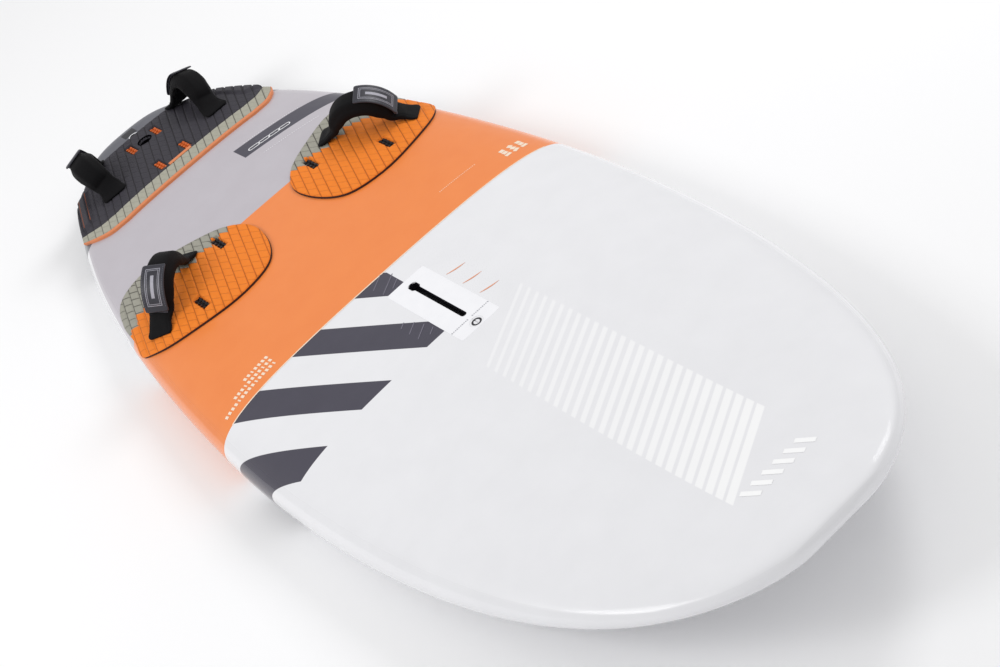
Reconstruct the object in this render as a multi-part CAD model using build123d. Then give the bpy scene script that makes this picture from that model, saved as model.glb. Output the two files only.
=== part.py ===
"""Windsurf board with a keyhole mast track, two-bolt fin box, air vent, deck pads and four footstraps.

Millimetres. X runs forward along the centreline, Y to port, Z up. The origin is on the planing flat,
below the middle of the board's length. Every sub-part is written to parts/NAME.step.
"""
from build123d import *
import math
import os

os.makedirs("parts", exist_ok=True)

# --- board outline and heights ---
LENGTH = 2360.0
HALF_LENGTH = LENGTH / 2
HALF_WIDTH = 429.0
WIDE_POINT = 150.0        # station of the greatest width
TIP_MARGIN = 4.0          # the outline formula closes this far beyond each tip, which leaves them blunt
TIP_RADIUS = 58.0         # length over which the thickness rounds off at each tip
DECK_MIDDLE = 137.0       # deck height on the centreline at X = 0
DECK_SLOPE = 0.0265
NOSE_LIFT = 40.0          # extra deck height at the nose
NOSE_LIFT_START = 600.0
TAIL_DROP = 33.0          # extra fall of the deck at the tail
TAIL_DROP_START = -480.0
NOSE_ROCKER = 166.0       # rise of the bottom at the nose
ROCKER_POWER = 2.5
FLAT_TRIM = 1.0           # the bottom is formed this much low, then trued to a plane at Z = 0
RAIL_LEVEL = 0.42         # height of the rail's widest line, as a share of the local thickness
RAIL_TUCK = 70.0          # width of the rounding between the flat bottom and the rail
SECTION_COUNT = 37

# --- lamination ---
SKIN = 4.0
SEAM_DROP = 5.0           # the two skins meet this far below the rail's widest line

# --- mast track ---
TRACK_AFT = 74.0
TRACK_FORE = 270.0
TRACK_HALF_WIDTH = 21.0
TRACK_DEPTH = 34.0
KEYHOLE_AFT = 84.0
KEYHOLE_FORE = 108.0
KEYHOLE_HALF_WIDTH = 9.0
SLOT_FORE = 259.0
SLOT_HALF_WIDTH = 5.5
SLOT_LIP = 8.0            # thickness of the lips that the mast foot clamps under
SLOT_CHANNEL_DEPTH = 22.0
BLOCK_MARGIN = 20.0       # dense foam round each box

# --- fin box ---
FIN_BOLT_FORE = -1026.0
FIN_BOLT_AFT = -1097.0
FIN_BOLT_RADIUS = 3.5
FIN_BOLT_SINK_RADIUS = 9.0
FIN_BOLT_SINK_DEPTH = 6.0     # depth at the aft bolt; both heads seat on one level face
FIN_BOX_AFT = -1142.0
FIN_BOX_FORE = -980.0
FIN_BOX_HALF_WIDTH = 16.0
FIN_MOUTH = (140.0, 17.0)     # length and width of the tapered socket at the bottom skin
FIN_ROOF = (122.0, 13.6)      # the same at its roof
FIN_SOCKET_DEPTH = 62.0

# --- air vent ---
VENT_X = 293.0
VENT_FLANGE_RADIUS = 13.0
VENT_DEPTH = 24.0
VENT_BORE = 6.0
VENT_HEAD_RADIUS = 9.0
VENT_HEAD_THICKNESS = 3.0
VENT_SHANK_RADIUS = 5.9
VENT_SHANK_LENGTH = 14.0
SEAL_RING_RADIUS = 7.6
SEAL_CORD_RADIUS = 1.2

# --- strap inserts: X, Y of the centre on the port side ---
SPARE_FRONT = [(-448.0, 120.0), (-331.0, 236.0)]
SPARE_REAR = [(-1033.0, 34.0), (-881.0, 34.0)]
INSERT_LENGTH = 48.0
INSERT_WIDTH = 14.0
INSERT_DEPTH = 26.0
INSERT_PITCH = 11.0
INSERT_HOLES = 4
INSERT_HOLE_RADIUS = 3.0
INSERT_PROUD = 4.0        # the spare inserts stand above the deck, inside windows in the pads
WINDOW_CLEARANCE = 2.0

# --- deck pads ---
PAD = 7.0
KICK = 6.0                # extra height of the raised bars at the tail's edges
FRONT_PAD_BORDER = -465.0
FRONT_PAD = [
    (-257, 165), (-276, 100), (-335, 64), (-420, 55), (-480, 88), (-532, 165),
    (-568, 245), (-563, 322), (-510, 350), (-440, 362), (-385, 374), (-318, 338), (-268, 240),
]
REAR_PAD_AFT = -1088.0
REAR_PAD_FORE = -788.0
REAR_PAD_SIDE = 0.95      # share of the local half-width that the tail pad covers
TRIM_WIDTH = 10.0
BAND_WIDTH = 47.0
BOLT_WINDOW_RADIUS = 15.0

# --- footstraps: inner (or aft) and outer (or forward) foot on the port side ---
FRONT_FEET = ((-479.0, 190.0), (-368.0, 312.0))
REAR_FEET = ((-926.0, 138.0), (-1066.0, 116.0))
TAB_LENGTH = 42.0
TAB_WIDTH = 50.0
TAB_THICKNESS = 5.0
AXIS_ABOVE_PAD = 6.0
ARCH_ROUNDNESS = 2.15
FOOT_INSET = 10.0         # the arch stands this far inside the screws
FRONT_LEAN = 8.0          # degrees that a slack strap leans over at rest, towards the nose
REAR_LEAN = 20.0          # the same for the rear straps, outboard
COVER_THICKNESS = 16.0
COVER_WIDTH = 58.0
COVER_START = 18.0        # height of the cover's ends above the lean axis
WEBBING_WIDTH = 40.0
WEBBING_LEVEL = (6.5, 9.5)
WEBBING_START = 12.0
TUNNEL_CLEARANCE = 0.2
PATCH_LEVEL = (16.05, 17.0)
PATCH_WIDTH = 38.0
FLAP_LEVEL = (17.4, 21.0)
FLAP_WIDTH = 48.0
FLAP_HINGE_ANGLE = 94.0   # degrees along the arch, 0 at the first foot
FLAP_TIP_ANGLE = 163.0
SCREW_HEAD_RADIUS = 6.5
SCREW_HEAD_HEIGHT = 3.2
SCREW_RADIUS = 2.9
SCREW_LENGTH = 26.0
SCREW_HOLE_RADIUS = 3.2
WASHER_RADIUS = 9.0
WASHER_THICKNESS = 1.5

TALL = 400.0              # longer than any height, for cutting tools
PAD_TOOL_BASE = 50.0      # cutting tools for pads and tabs start here, between tuck and pad edge

# Shape of the rail and deck quarter curves: handle lengths of a cubic Bezier, as shares of its box.
DECK_RAIL_HANDLE = 0.80
DECK_CROWN_HANDLE = 0.75
TUCK_HANDLE = 0.60


# ---------------------------------------------------------------- board surface
def outline(x):
    """Half-width of the board at station x."""
    if x > WIDE_POINT:
        t = (x - WIDE_POINT) / (HALF_LENGTH + TIP_MARGIN - WIDE_POINT)
        return HALF_WIDTH * (1 - t**2.2) ** (1 / 2.3)
    t = (WIDE_POINT - x) / (HALF_LENGTH + TIP_MARGIN + WIDE_POINT)
    return HALF_WIDTH * (1 - t**1.6) ** (1 / 2.4)


def heights(x):
    """Heights of the bottom, the rail's widest line and the deck on the centreline at station x."""
    deck = DECK_MIDDLE + DECK_SLOPE * x
    if x > NOSE_LIFT_START:
        deck += NOSE_LIFT * ((x - NOSE_LIFT_START) / (HALF_LENGTH - NOSE_LIFT_START)) ** 3
    if x < TAIL_DROP_START:
        deck -= TAIL_DROP * ((TAIL_DROP_START - x) / (HALF_LENGTH + TAIL_DROP_START)) ** 1.2
    bottom = -FLAT_TRIM
    if x > 0:
        bottom += NOSE_ROCKER * (x / HALF_LENGTH) ** ROCKER_POWER
    rail = bottom + RAIL_LEVEL * (deck - bottom)
    near_tip = max(0.0, (abs(x) - HALF_LENGTH + TIP_RADIUS) / (TIP_RADIUS + TIP_MARGIN))
    fullness = math.sqrt(1 - near_tip**3)
    return rail - (rail - bottom) * fullness, rail, rail + (deck - rail) * fullness


def section(x, side, top, bottom, end):
    """Closed transverse wire of the board at station x, grown by side, top, bottom and end."""
    station = x * HALF_LENGTH / (HALF_LENGTH + end)
    half = outline(station) + side
    z_bottom, z_rail, z_deck = heights(station)
    z_bottom -= bottom
    z_deck += top
    flat = half - min(RAIL_TUCK, 0.4 * half)
    edges = [Edge.make_line((x, -flat, z_bottom), (x, flat, z_bottom))]
    for sign in (1, -1):
        tuck = Edge.make_bezier(
            (x, sign * flat, z_bottom),
            (x, sign * (flat + TUCK_HANDLE * (half - flat)), z_bottom),
            (x, sign * half, z_rail - TUCK_HANDLE * (z_rail - z_bottom)),
            (x, sign * half, z_rail),
        )
        crown = Edge.make_bezier(
            (x, sign * half, z_rail),
            (x, sign * half, z_rail + DECK_RAIL_HANDLE * (z_deck - z_rail)),
            (x, sign * DECK_CROWN_HANDLE * half, z_deck),
            (x, 0, z_deck),
        )
        edges += [tuck, crown]
    return Wire(edges)


def board_form(side=0.0, top=0.0, bottom=0.0, end=0.0):
    """Lofted board, trued flat below; stations crowd towards the tips, where the outline turns fast."""
    reach = HALF_LENGTH + end
    stations = [-reach * math.cos(math.pi * i / (SECTION_COUNT - 1)) for i in range(SECTION_COUNT)]
    loft_body = Solid.make_loft([section(x, side, top, bottom, end) for x in stations])
    above = Pos(0, 0, TALL / 2 - bottom) * Box(2 * LENGTH, LENGTH, TALL)
    return loft_body & above


def deck_height(x, y, rise=0.0, side=0.0):
    """Height of the deck (raised by rise) at a point, solved on the same Bezier quarter."""
    half = outline(x) + side
    _, z_rail, z_deck = heights(x)
    z_deck += rise
    low, high = 0.0, 1.0
    for _ in range(40):
        t = (low + high) / 2
        across = (1 - t) ** 3 + 3 * (1 - t) ** 2 * t + 3 * (1 - t) * t**2 * DECK_CROWN_HANDLE
        if across * half > abs(y):
            low = t
        else:
            high = t
    up = 3 * (1 - t) ** 2 * t * DECK_RAIL_HANDLE + 3 * (1 - t) * t**2 + t**3
    return z_rail + (z_deck - z_rail) * up


def deck_normal(x, y):
    """Upward unit normal of the deck."""
    step = 2.0
    slope_x = (deck_height(x + step, y) - deck_height(x - step, y)) / (2 * step)
    slope_y = (deck_height(x, y + step) - deck_height(x, y - step)) / (2 * step)
    return Vector(-slope_x, -slope_y, 1).normalized()


# ---------------------------------------------------------------- small tools
def upright(face, low=PAD_TOOL_BASE, high=TALL):
    """Vertical prism on a face drawn at Z = 0; it starts above the tuck of the rails."""
    return Pos(0, 0, low) * extrude(face, amount=high - low)


def block(x0, x1, half_width, z0, z1, y=0.0):
    return Pos((x0 + x1) / 2, y, (z0 + z1) / 2) * Box(x1 - x0, 2 * half_width, z1 - z0)


def post(x, y, radius, z0, z1):
    return Pos(x, y, (z0 + z1) / 2) * Cylinder(radius, z1 - z0)


def rounded_bar(x0, x1, half_width, z0, z1):
    """Bar along X with a round forward end."""
    end = x1 - half_width
    return block(x0, end, half_width, z0, z1) + post(end, 0, half_width, z0, z1)


def mirrored(part):
    return mirror(part, about=Plane.XZ)


def save(name, *solids):
    """Write one sub-part; several solids go into one compound."""
    pieces = []
    for item in solids:
        pieces += item.solids()
    shape = pieces[0] if len(pieces) == 1 else Compound(children=pieces)
    shape.label = name
    export_step(shape, f"parts/{name}.step")


def union(parts):
    whole = parts[0]
    for part in parts[1:]:
        whole = whole + part
    return whole


outer_form = board_form()
inner_form = board_form(-SKIN, -SKIN, -SKIN, -SKIN)
pad_form = board_form(3.0, PAD)
tab_form = board_form(5.0, PAD + TAB_THICKNESS)
kick_form = board_form(4.0, PAD + KICK)


# ---------------------------------------------------------------- mast track
def make_track():
    """Box under the deck with a keyhole: a wide entry at the aft end, then a lipped slot."""
    z_deck = deck_height((TRACK_AFT + TRACK_FORE) / 2, 0)
    top = z_deck + 20
    body = block(TRACK_AFT, TRACK_FORE, TRACK_HALF_WIDTH, z_deck - TRACK_DEPTH, top) & outer_form
    slot = rounded_bar(KEYHOLE_AFT, SLOT_FORE, SLOT_HALF_WIDTH, z_deck - SLOT_LIP - 2, top)
    entry = block(KEYHOLE_AFT, KEYHOLE_FORE, KEYHOLE_HALF_WIDTH, z_deck - SLOT_CHANNEL_DEPTH, top)
    channel = block(
        KEYHOLE_AFT, SLOT_FORE, KEYHOLE_HALF_WIDTH, z_deck - SLOT_CHANNEL_DEPTH, z_deck - SLOT_LIP
    )
    return body - slot - entry - channel


track_room = block(
    TRACK_AFT, TRACK_FORE, TRACK_HALF_WIDTH,
    deck_height((TRACK_AFT + TRACK_FORE) / 2, 0) - TRACK_DEPTH, TALL,
)
track_block_room = block(
    TRACK_AFT - BLOCK_MARGIN, TRACK_FORE - 4, TRACK_HALF_WIDTH + BLOCK_MARGIN, -TALL, TALL
)
save("mast_track_box", make_track())


# ---------------------------------------------------------------- fin box
def make_fin_socket():
    """Tapered socket for the fin head, wider at the bottom skin than at its roof."""
    middle = (FIN_BOLT_AFT + FIN_BOLT_FORE) / 2
    mouth = Plane((middle, 0, -1)) * Rectangle(*FIN_MOUTH)
    roof = Plane((middle, 0, FIN_SOCKET_DEPTH)) * Rectangle(*FIN_ROOF)
    return loft([mouth, roof])


def fin_bolt_holes():
    head_seat = deck_height(FIN_BOLT_AFT, 0) - FIN_BOLT_SINK_DEPTH
    holes = []
    for x in (FIN_BOLT_FORE, FIN_BOLT_AFT):
        holes.append(post(x, 0, FIN_BOLT_RADIUS, FIN_SOCKET_DEPTH - 5, TALL))
        holes.append(post(x, 0, FIN_BOLT_SINK_RADIUS, head_seat, TALL))
    return union(holes)


fin_room = block(FIN_BOX_AFT, FIN_BOX_FORE, FIN_BOX_HALF_WIDTH, -10, TALL)
fin_block_room = block(
    FIN_BOX_AFT - BLOCK_MARGIN / 2, FIN_BOX_FORE + BLOCK_MARGIN,
    FIN_BOX_HALF_WIDTH + BLOCK_MARGIN, -TALL, TALL,
)
save("fin_box", (fin_room & outer_form) - make_fin_socket() - fin_bolt_holes())

# ---------------------------------------------------------------- air vent
vent_top = deck_height(VENT_X, 0)
seat = vent_top - VENT_HEAD_THICKNESS - 2 * SEAL_CORD_RADIUS
shank_end = seat + 2 * SEAL_CORD_RADIUS - VENT_SHANK_LENGTH
vent_floor = vent_top - VENT_DEPTH
vent_room = post(VENT_X, 0, VENT_FLANGE_RADIUS, vent_floor, TALL)
vent_bore = post(VENT_X, 0, VENT_BORE, vent_floor - 5, TALL)
vent_recess = post(VENT_X, 0, VENT_HEAD_RADIUS + 0.6, seat, TALL)
membrane = post(VENT_X, 0, VENT_BORE + 2, vent_floor + 2, vent_floor + 2.4)
save("vent_housing", (vent_room & outer_form) - vent_bore - vent_recess - membrane)
save("vent_membrane", membrane)
save("vent_seal", Pos(VENT_X, 0, seat + SEAL_CORD_RADIUS + 0.02) * Torus(SEAL_RING_RADIUS, SEAL_CORD_RADIUS - 0.05))


def make_vent_screw():
    """Slotted plug: a flat head over a plain shank that closes the bore."""
    under_head = seat + 2 * SEAL_CORD_RADIUS + 0.02
    head = post(VENT_X, 0, VENT_HEAD_RADIUS, under_head, vent_top - 0.2)
    shank = post(VENT_X, 0, VENT_SHANK_RADIUS, shank_end, under_head)
    driver_slot = block(VENT_X - 6, VENT_X + 6, 1.0, vent_top - 1.8, TALL)
    return head + shank - driver_slot


save("vent_screw", make_vent_screw())


# ---------------------------------------------------------------- strap inserts
def insert_plane(x, y, tilted):
    """Frame on the deck surface, square to it for the fitted inserts and upright for the spare ones."""
    normal = deck_normal(x, y) if tilted else Vector(0, 0, 1)
    along = Vector(1, 0, 0) - normal * normal.X
    return Plane(origin=(x, y, deck_height(x, y)), x_dir=along.normalized(), z_dir=normal)


def insert_room(x, y, tilted):
    return insert_plane(x, y, tilted) * Pos(0, 0, (TALL / 8 - INSERT_DEPTH) / 2) * Box(
        INSERT_LENGTH, INSERT_WIDTH, INSERT_DEPTH + TALL / 8
    )


def make_insert(x, y, tilted):
    """Plastic strip set in the deck, with a row of screw holes."""
    frame = insert_plane(x, y, tilted)
    limit = outer_form if tilted else proud_form
    strip = insert_room(x, y, tilted) & limit
    for i in range(INSERT_HOLES):
        along = (i - (INSERT_HOLES - 1) / 2) * INSERT_PITCH
        strip = strip - frame * Pos(along, 0, 0) * Cylinder(INSERT_HOLE_RADIUS, 2 * INSERT_DEPTH - 8)
    return strip


proud_form = board_form(0.0, INSERT_PROUD)
both_sides = [1, -1]
spare_front = [(x, s * y) for x, y in SPARE_FRONT for s in both_sides]
spare_rear = [(x, s * y) for x, y in SPARE_REAR for s in both_sides]
front_feet = [(x, s * y) for x, y in FRONT_FEET for s in both_sides]
rear_feet = [(x, s * y) for x, y in REAR_FEET for s in both_sides]
save("spare_front_inserts", *[make_insert(x, y, False) for x, y in spare_front])
save("spare_rear_inserts", *[make_insert(x, y, False) for x, y in spare_rear])


def make_foot_insert(x, y):
    """Fitted insert: the strap screw uses the middle of the strip."""
    strip = insert_room(x, y, True) & outer_form
    return strip - insert_plane(x, y, True) * Cylinder(INSERT_HOLE_RADIUS, 2 * INSERT_DEPTH - 8)


save("front_strap_inserts", *[make_foot_insert(x, y) for x, y in front_feet])
save("rear_strap_inserts", *[make_foot_insert(x, y) for x, y in rear_feet])

# ---------------------------------------------------------------- core, dense foam and skins
insert_rooms = [insert_room(x, y, False) for x, y in spare_front + spare_rear]
insert_rooms += [insert_room(x, y, True) for x, y in front_feet + rear_feet]
fittings = [track_room, fin_room, vent_room] + insert_rooms

core = inner_form - track_block_room - fin_block_room
for room in fittings:
    core = core - room
save("foam_core", core)
save("mast_track_block", (inner_form & track_block_room) - track_room - vent_room)
fin_block = (inner_form & fin_block_room) - fin_room
for x, y in spare_rear:
    fin_block = fin_block - insert_room(x, y, False)
save("fin_box_block", fin_block)


def rail_line_prism():
    """Everything below the seam between the two skins."""
    points = []
    for i in range(13):
        x = -HALF_LENGTH - 20 + (LENGTH + 40) * i / 12
        inside = max(-HALF_LENGTH, min(HALF_LENGTH, x))
        points.append((x, heights(inside)[1] - SEAM_DROP))
    seam = Spline(*[(x, z) for x, z in points])
    sides = Polyline(points[-1], (points[-1][0], -TALL), (points[0][0], -TALL), points[0])
    profile = Plane.XZ * make_face([seam, sides])
    return extrude(profile, amount=HALF_WIDTH * 2, both=True)


shell = outer_form - inner_form
below_seam = rail_line_prism()
deck_skin = shell - below_seam
bottom_skin = shell & below_seam
for room in fittings:
    deck_skin = deck_skin - room
save("deck_skin", deck_skin)
save("bottom_skin", bottom_skin - fin_room)


# ---------------------------------------------------------------- deck pads
def closed_curve(points):
    return make_face(Spline(*points, periodic=True))


def rear_pad_outline(shift=0.0):
    """Tail pad: straight front edge, sides a fixed share inside the rail, straight cut at the back."""
    side = [(x, REAR_PAD_SIDE * outline(x)) for x in (-1040.0, -985.0, -930.0, -880.0)]
    aft_corner = (REAR_PAD_AFT, 95.0)
    rail = Spline(aft_corner, *side)
    front_corner = Spline(side[-1], (-838, 246), (-800, 215), (REAR_PAD_FORE, 175))
    half = [rail, front_corner, Line((REAR_PAD_FORE, 175), (REAR_PAD_FORE, 0))]
    half += [Line((REAR_PAD_FORE, 0), (REAR_PAD_AFT, 0)), Line((REAR_PAD_AFT, 0), aft_corner)]
    port = make_face(half)
    return Pos(shift, 0, 0) * (port + mirrored(port))


def pad_layer(outline_face, form):
    return (upright(outline_face) & form) - outer_form


def window(x, y):
    clearance = 2 * WINDOW_CLEARANCE
    return Pos(x, y, TALL / 2) * Box(INSERT_LENGTH + clearance, INSERT_WIDTH + clearance, TALL)


def screw_hole(x, y):
    return insert_plane(x, y, True) * Cylinder(SCREW_HOLE_RADIUS, 60)


front_pad_whole = pad_layer(closed_curve(FRONT_PAD), pad_form)
for x, y in SPARE_FRONT:
    front_pad_whole = front_pad_whole - window(x, y)
for x, y in FRONT_FEET:
    front_pad_whole = front_pad_whole - screw_hole(x, y)
heel_side = block(-LENGTH, FRONT_PAD_BORDER, LENGTH, -TALL, TALL)
front_pad = front_pad_whole - heel_side
front_pad_heel = front_pad_whole & heel_side
save("front_pad_port", front_pad)
save("front_pad_heel_port", front_pad_heel)
save("front_pad_starboard", mirrored(front_pad))
save("front_pad_heel_starboard", mirrored(front_pad_heel))

tail_area = pad_layer(rear_pad_outline(), pad_form)
for x, y in spare_rear:
    tail_area = tail_area - window(x, y)
for x, y in rear_feet:
    tail_area = tail_area - screw_hole(x, y)
tail_area = tail_area - post(FIN_BOLT_FORE, 0, BOLT_WINDOW_RADIUS, 0, TALL)
behind_trim = upright(rear_pad_outline(-TRIM_WIDTH))
behind_band = upright(rear_pad_outline(-TRIM_WIDTH - BAND_WIDTH))
save("rear_pad_trim", tail_area - behind_trim)
save("rear_pad_band", (tail_area & behind_trim) - behind_band)
save("rear_pad", tail_area & behind_band)


def make_kick():
    """Raised bar of foam along the edge of the tail pad, outboard of the strap."""
    near = [(x, 0.80 * outline(x)) for x in (-1030.0, -990.0, -950.0, -905.0)]
    far = [(x, 0.92 * outline(x)) for x in (-905.0, -950.0, -990.0, -1030.0)]
    face = make_face([Spline(*near), Line(near[-1], far[0]), Spline(*far), Line(far[-1], near[0])])
    return (upright(face) & kick_form) - pad_form


kick = make_kick()
save("rear_pad_kicks", kick, mirrored(kick))


# ---------------------------------------------------------------- footstraps
def foot_frame(x, y):
    """Frame on top of the pad at a strap foot, on the axis of the insert below it."""
    frame = insert_plane(x, y, True)
    return frame.offset(PAD * frame.z_dir.Z)


class Strap:
    """One footstrap between two feet; the arch's plane holds its lean axis, leaning over at rest."""

    def __init__(self, name, feet, height, lean, side):
        self.name = name
        self.feet = [(x, side * y) for x, y in feet]
        ends = [self.axis_point(x, y) for x, y in self.feet]
        self.middle = (ends[0] + ends[1]) / 2
        self.along = (ends[1] - ends[0]).normalized()
        level_across = self.along.cross(Vector(0, 0, 1)).normalized()
        self.across = level_across.rotate(Axis((0, 0, 0), tuple(self.along)), side * lean)
        self.plane = Plane(origin=self.middle, x_dir=self.along, z_dir=self.across)
        self.half_span = (ends[1] - ends[0]).length / 2 - FOOT_INSET - COVER_THICKNESS
        self.height = height - COVER_THICKNESS

    def axis_point(self, x, y):
        frame = foot_frame(x, y)
        return frame.origin + frame.z_dir * AXIS_ABOVE_PAD

    def arch_point(self, level, angle):
        """Point of the arch in its plane; level is the distance out from the inner face."""
        c = math.cos(math.radians(angle))
        s = math.sin(math.radians(angle))
        power = 2 / ARCH_ROUNDNESS
        x = -math.copysign(abs(c) ** power, c) * (self.half_span + level)
        return (x, s**power * (self.height + level))

    def start_angle(self, level, height):
        share = height / (self.height + level)
        return math.degrees(math.asin(share ** (ARCH_ROUNDNESS / 2)))

    def layer(self, levels, angles, width):
        """Curved strip between two levels and two angles along the arch."""
        steps = 14
        curves = []
        for level in levels:
            turn = (angles[1] - angles[0]) / steps
            curves.append([self.arch_point(level, angles[0] + turn * i) for i in range(steps + 1)])
        inner, outer = curves
        profile = make_face(
            [Spline(*inner), Line(inner[-1], outer[-1]), Spline(*outer[::-1]), Line(outer[0], inner[0])]
        )
        return extrude(self.plane * profile, amount=width / 2, both=True)

    def webbing(self):
        start = self.start_angle(WEBBING_LEVEL[0], WEBBING_START)
        return self.layer(WEBBING_LEVEL, (start, 180 - start), WEBBING_WIDTH)

    def cover(self):
        """Padded sleeve with a tunnel for the webbing."""
        start = self.start_angle(0, COVER_START)
        sleeve = self.layer((0, COVER_THICKNESS), (start, 180 - start), COVER_WIDTH)
        gap = TUNNEL_CLEARANCE
        tunnel = self.layer(
            (WEBBING_LEVEL[0] - gap, WEBBING_LEVEL[1] + gap), (start - 3, 183 - start),
            WEBBING_WIDTH + 2 * gap,
        )
        return sleeve - tunnel

    def patch(self):
        return self.layer(PATCH_LEVEL, (FLAP_HINGE_ANGLE + 4, FLAP_TIP_ANGLE - 8), PATCH_WIDTH)

    def flap(self):
        return self.layer(FLAP_LEVEL, (FLAP_HINGE_ANGLE, FLAP_TIP_ANGLE), FLAP_WIDTH)

    def tab(self, x, y):
        """Flat end of the strap on the pad, with a sunk seat for the washer."""
        turn = math.degrees(math.atan2(self.along.Y, self.along.X))
        shape = Pos(x, y, 0) * Rot(0, 0, turn) * RectangleRounded(TAB_LENGTH, TAB_WIDTH, 8)
        slab = (upright(shape) & tab_form) - pad_form
        frame = foot_frame(x, y)
        seat_room = frame * Pos(0, 0, self.seat + 20) * Cylinder(WASHER_RADIUS + 0.5, 40)
        return slab - seat_room - frame * Cylinder(SCREW_HOLE_RADIUS, 60)

    seat = TAB_THICKNESS - 2.5

    def washer(self, x, y):
        disc = Pos(0, 0, self.seat + WASHER_THICKNESS / 2) * Cylinder(WASHER_RADIUS, WASHER_THICKNESS)
        return foot_frame(x, y) * (disc - Cylinder(SCREW_HOLE_RADIUS, 60))

    def screw(self, x, y):
        """Pan-head screw with a cross recess."""
        top = self.seat + WASHER_THICKNESS
        head = Pos(0, 0, top + SCREW_HEAD_HEIGHT / 2) * Cylinder(SCREW_HEAD_RADIUS, SCREW_HEAD_HEIGHT)
        head = fillet(head.faces().sort_by(Axis.Z)[-1].edges(), 2.0)
        for size in ((6.5, 1.2), (1.2, 6.5)):
            head = head - Pos(0, 0, top + SCREW_HEAD_HEIGHT) * Box(*size, 3)
        shank = Pos(0, 0, top - SCREW_LENGTH / 2) * Cylinder(SCREW_RADIUS, SCREW_LENGTH)
        return foot_frame(x, y) * (head + shank)


FRONT_HEIGHT = 78.0
REAR_HEIGHT = 76.0
straps = []
for side, word in ((1, "port"), (-1, "starboard")):
    straps.append(Strap(f"front_{word}", FRONT_FEET, FRONT_HEIGHT, FRONT_LEAN, side))
    straps.append(Strap(f"rear_{word}", REAR_FEET, REAR_HEIGHT, REAR_LEAN, side))

for strap in straps:
    save(f"{strap.name}_strap_webbing", strap.webbing())
    save(f"{strap.name}_strap_cover", strap.cover())
    save(f"{strap.name}_strap_patch", strap.patch())
    save(f"{strap.name}_strap_flap", strap.flap())
    save(f"{strap.name}_strap_tabs", *[strap.tab(x, y) for x, y in strap.feet])
save("strap_washers", *[strap.washer(x, y) for strap in straps for x, y in strap.feet])
save("strap_screws", *[strap.screw(x, y) for strap in straps for x, y in strap.feet])
for strap in straps:
    hinge = strap.plane.from_local_coords(Vector(*strap.arch_point(FLAP_LEVEL[0], FLAP_HINGE_ANGLE), 0))
    print(strap.name, "lean axis", strap.middle, strap.along, "flap axis", hinge, strap.across)
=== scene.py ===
"""Freeride windsurf board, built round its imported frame: laminate shell, mast track, fin box, vent,
deck pads and four padded footstraps. Metres, X to the nose, Y to port, Z up."""
import math

import bpy
import numpy as np
from mathutils import Matrix, Vector


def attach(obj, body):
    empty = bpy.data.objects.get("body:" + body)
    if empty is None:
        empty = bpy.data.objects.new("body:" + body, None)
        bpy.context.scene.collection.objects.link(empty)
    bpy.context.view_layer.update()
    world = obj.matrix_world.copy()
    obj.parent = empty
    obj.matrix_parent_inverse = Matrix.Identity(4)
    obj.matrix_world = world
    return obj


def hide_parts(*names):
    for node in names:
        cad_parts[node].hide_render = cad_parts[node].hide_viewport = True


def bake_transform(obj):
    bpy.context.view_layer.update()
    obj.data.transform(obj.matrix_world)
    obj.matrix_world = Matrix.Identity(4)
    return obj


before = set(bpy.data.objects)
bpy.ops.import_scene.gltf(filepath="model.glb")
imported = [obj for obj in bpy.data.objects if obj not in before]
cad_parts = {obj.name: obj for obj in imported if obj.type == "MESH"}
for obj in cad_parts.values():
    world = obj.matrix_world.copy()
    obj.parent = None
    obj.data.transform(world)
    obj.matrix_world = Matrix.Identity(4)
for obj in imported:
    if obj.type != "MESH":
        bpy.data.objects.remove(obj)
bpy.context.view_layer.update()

# ------------------------------------------------------------------ camera
# A short telephoto view from ahead of the starboard bow, looking down the length of the deck, with the
# camera rolled so that the board lies across the frame from upper left to lower right.
VIEWPOINT = Vector((2.846, -0.829, 2.143))
LOOK = Vector((-0.7545, 0.2521, -0.6060)).normalized()
ROLL = -0.543
LENS_MM = 72.97

level_right = LOOK.cross(Vector((0, 0, 1))).normalized()
level_up = level_right.cross(LOOK)
camera_right = level_right * math.cos(ROLL) + level_up * math.sin(ROLL)
camera_up = level_up * math.cos(ROLL) - level_right * math.sin(ROLL)
camera = bpy.data.objects.new("camera", bpy.data.cameras.new("camera"))
camera.data.lens = LENS_MM
camera.data.sensor_width = 36.0
turn = Matrix((camera_right, camera_up, -LOOK)).transposed()
camera.matrix_world = Matrix.Translation(VIEWPOINT) @ turn.to_4x4()
bpy.context.scene.collection.objects.link(camera)
bpy.context.scene.camera = camera


# ------------------------------------------------------------------ core and dense foam
# The core is a block of expanded polystyrene cut by hot wire and sanded; denser foam is let in round
# the mast track and fin boxes. All of it is closed in by the skins.
def linear(hex_colour):
    """sRGB hex to linear RGBA."""
    channels = [int(hex_colour[i:i + 2], 16) / 255 for i in (1, 3, 5)]
    return (*[c / 12.92 if c <= 0.04045 else ((c + 0.055) / 1.055) ** 2.4 for c in channels], 1.0)


def add(tree, kind, *values, **named):
    """Add a node and return its first output in use. Values go to its inputs in order, a name with a
    capital is one of its inputs, and a name without is a setting. A socket is linked, the rest is set."""
    made = tree.nodes.new("ShaderNode" + kind)
    for key, value in named.items():
        if key[0].islower():
            setattr(made, key, value)
    used = [socket for socket in made.inputs if socket.enabled]
    by_name = {socket.name: socket for socket in used}
    pairs = list(zip(used, values))
    pairs += [(by_name[key.replace("_", " ")], value) for key, value in named.items() if key[0].isupper()]
    for socket, value in pairs:
        if isinstance(value, bpy.types.NodeSocket):
            tree.links.new(value, socket)
        else:
            socket.default_value = value
    return next(socket for socket in made.outputs if socket.enabled)


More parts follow.
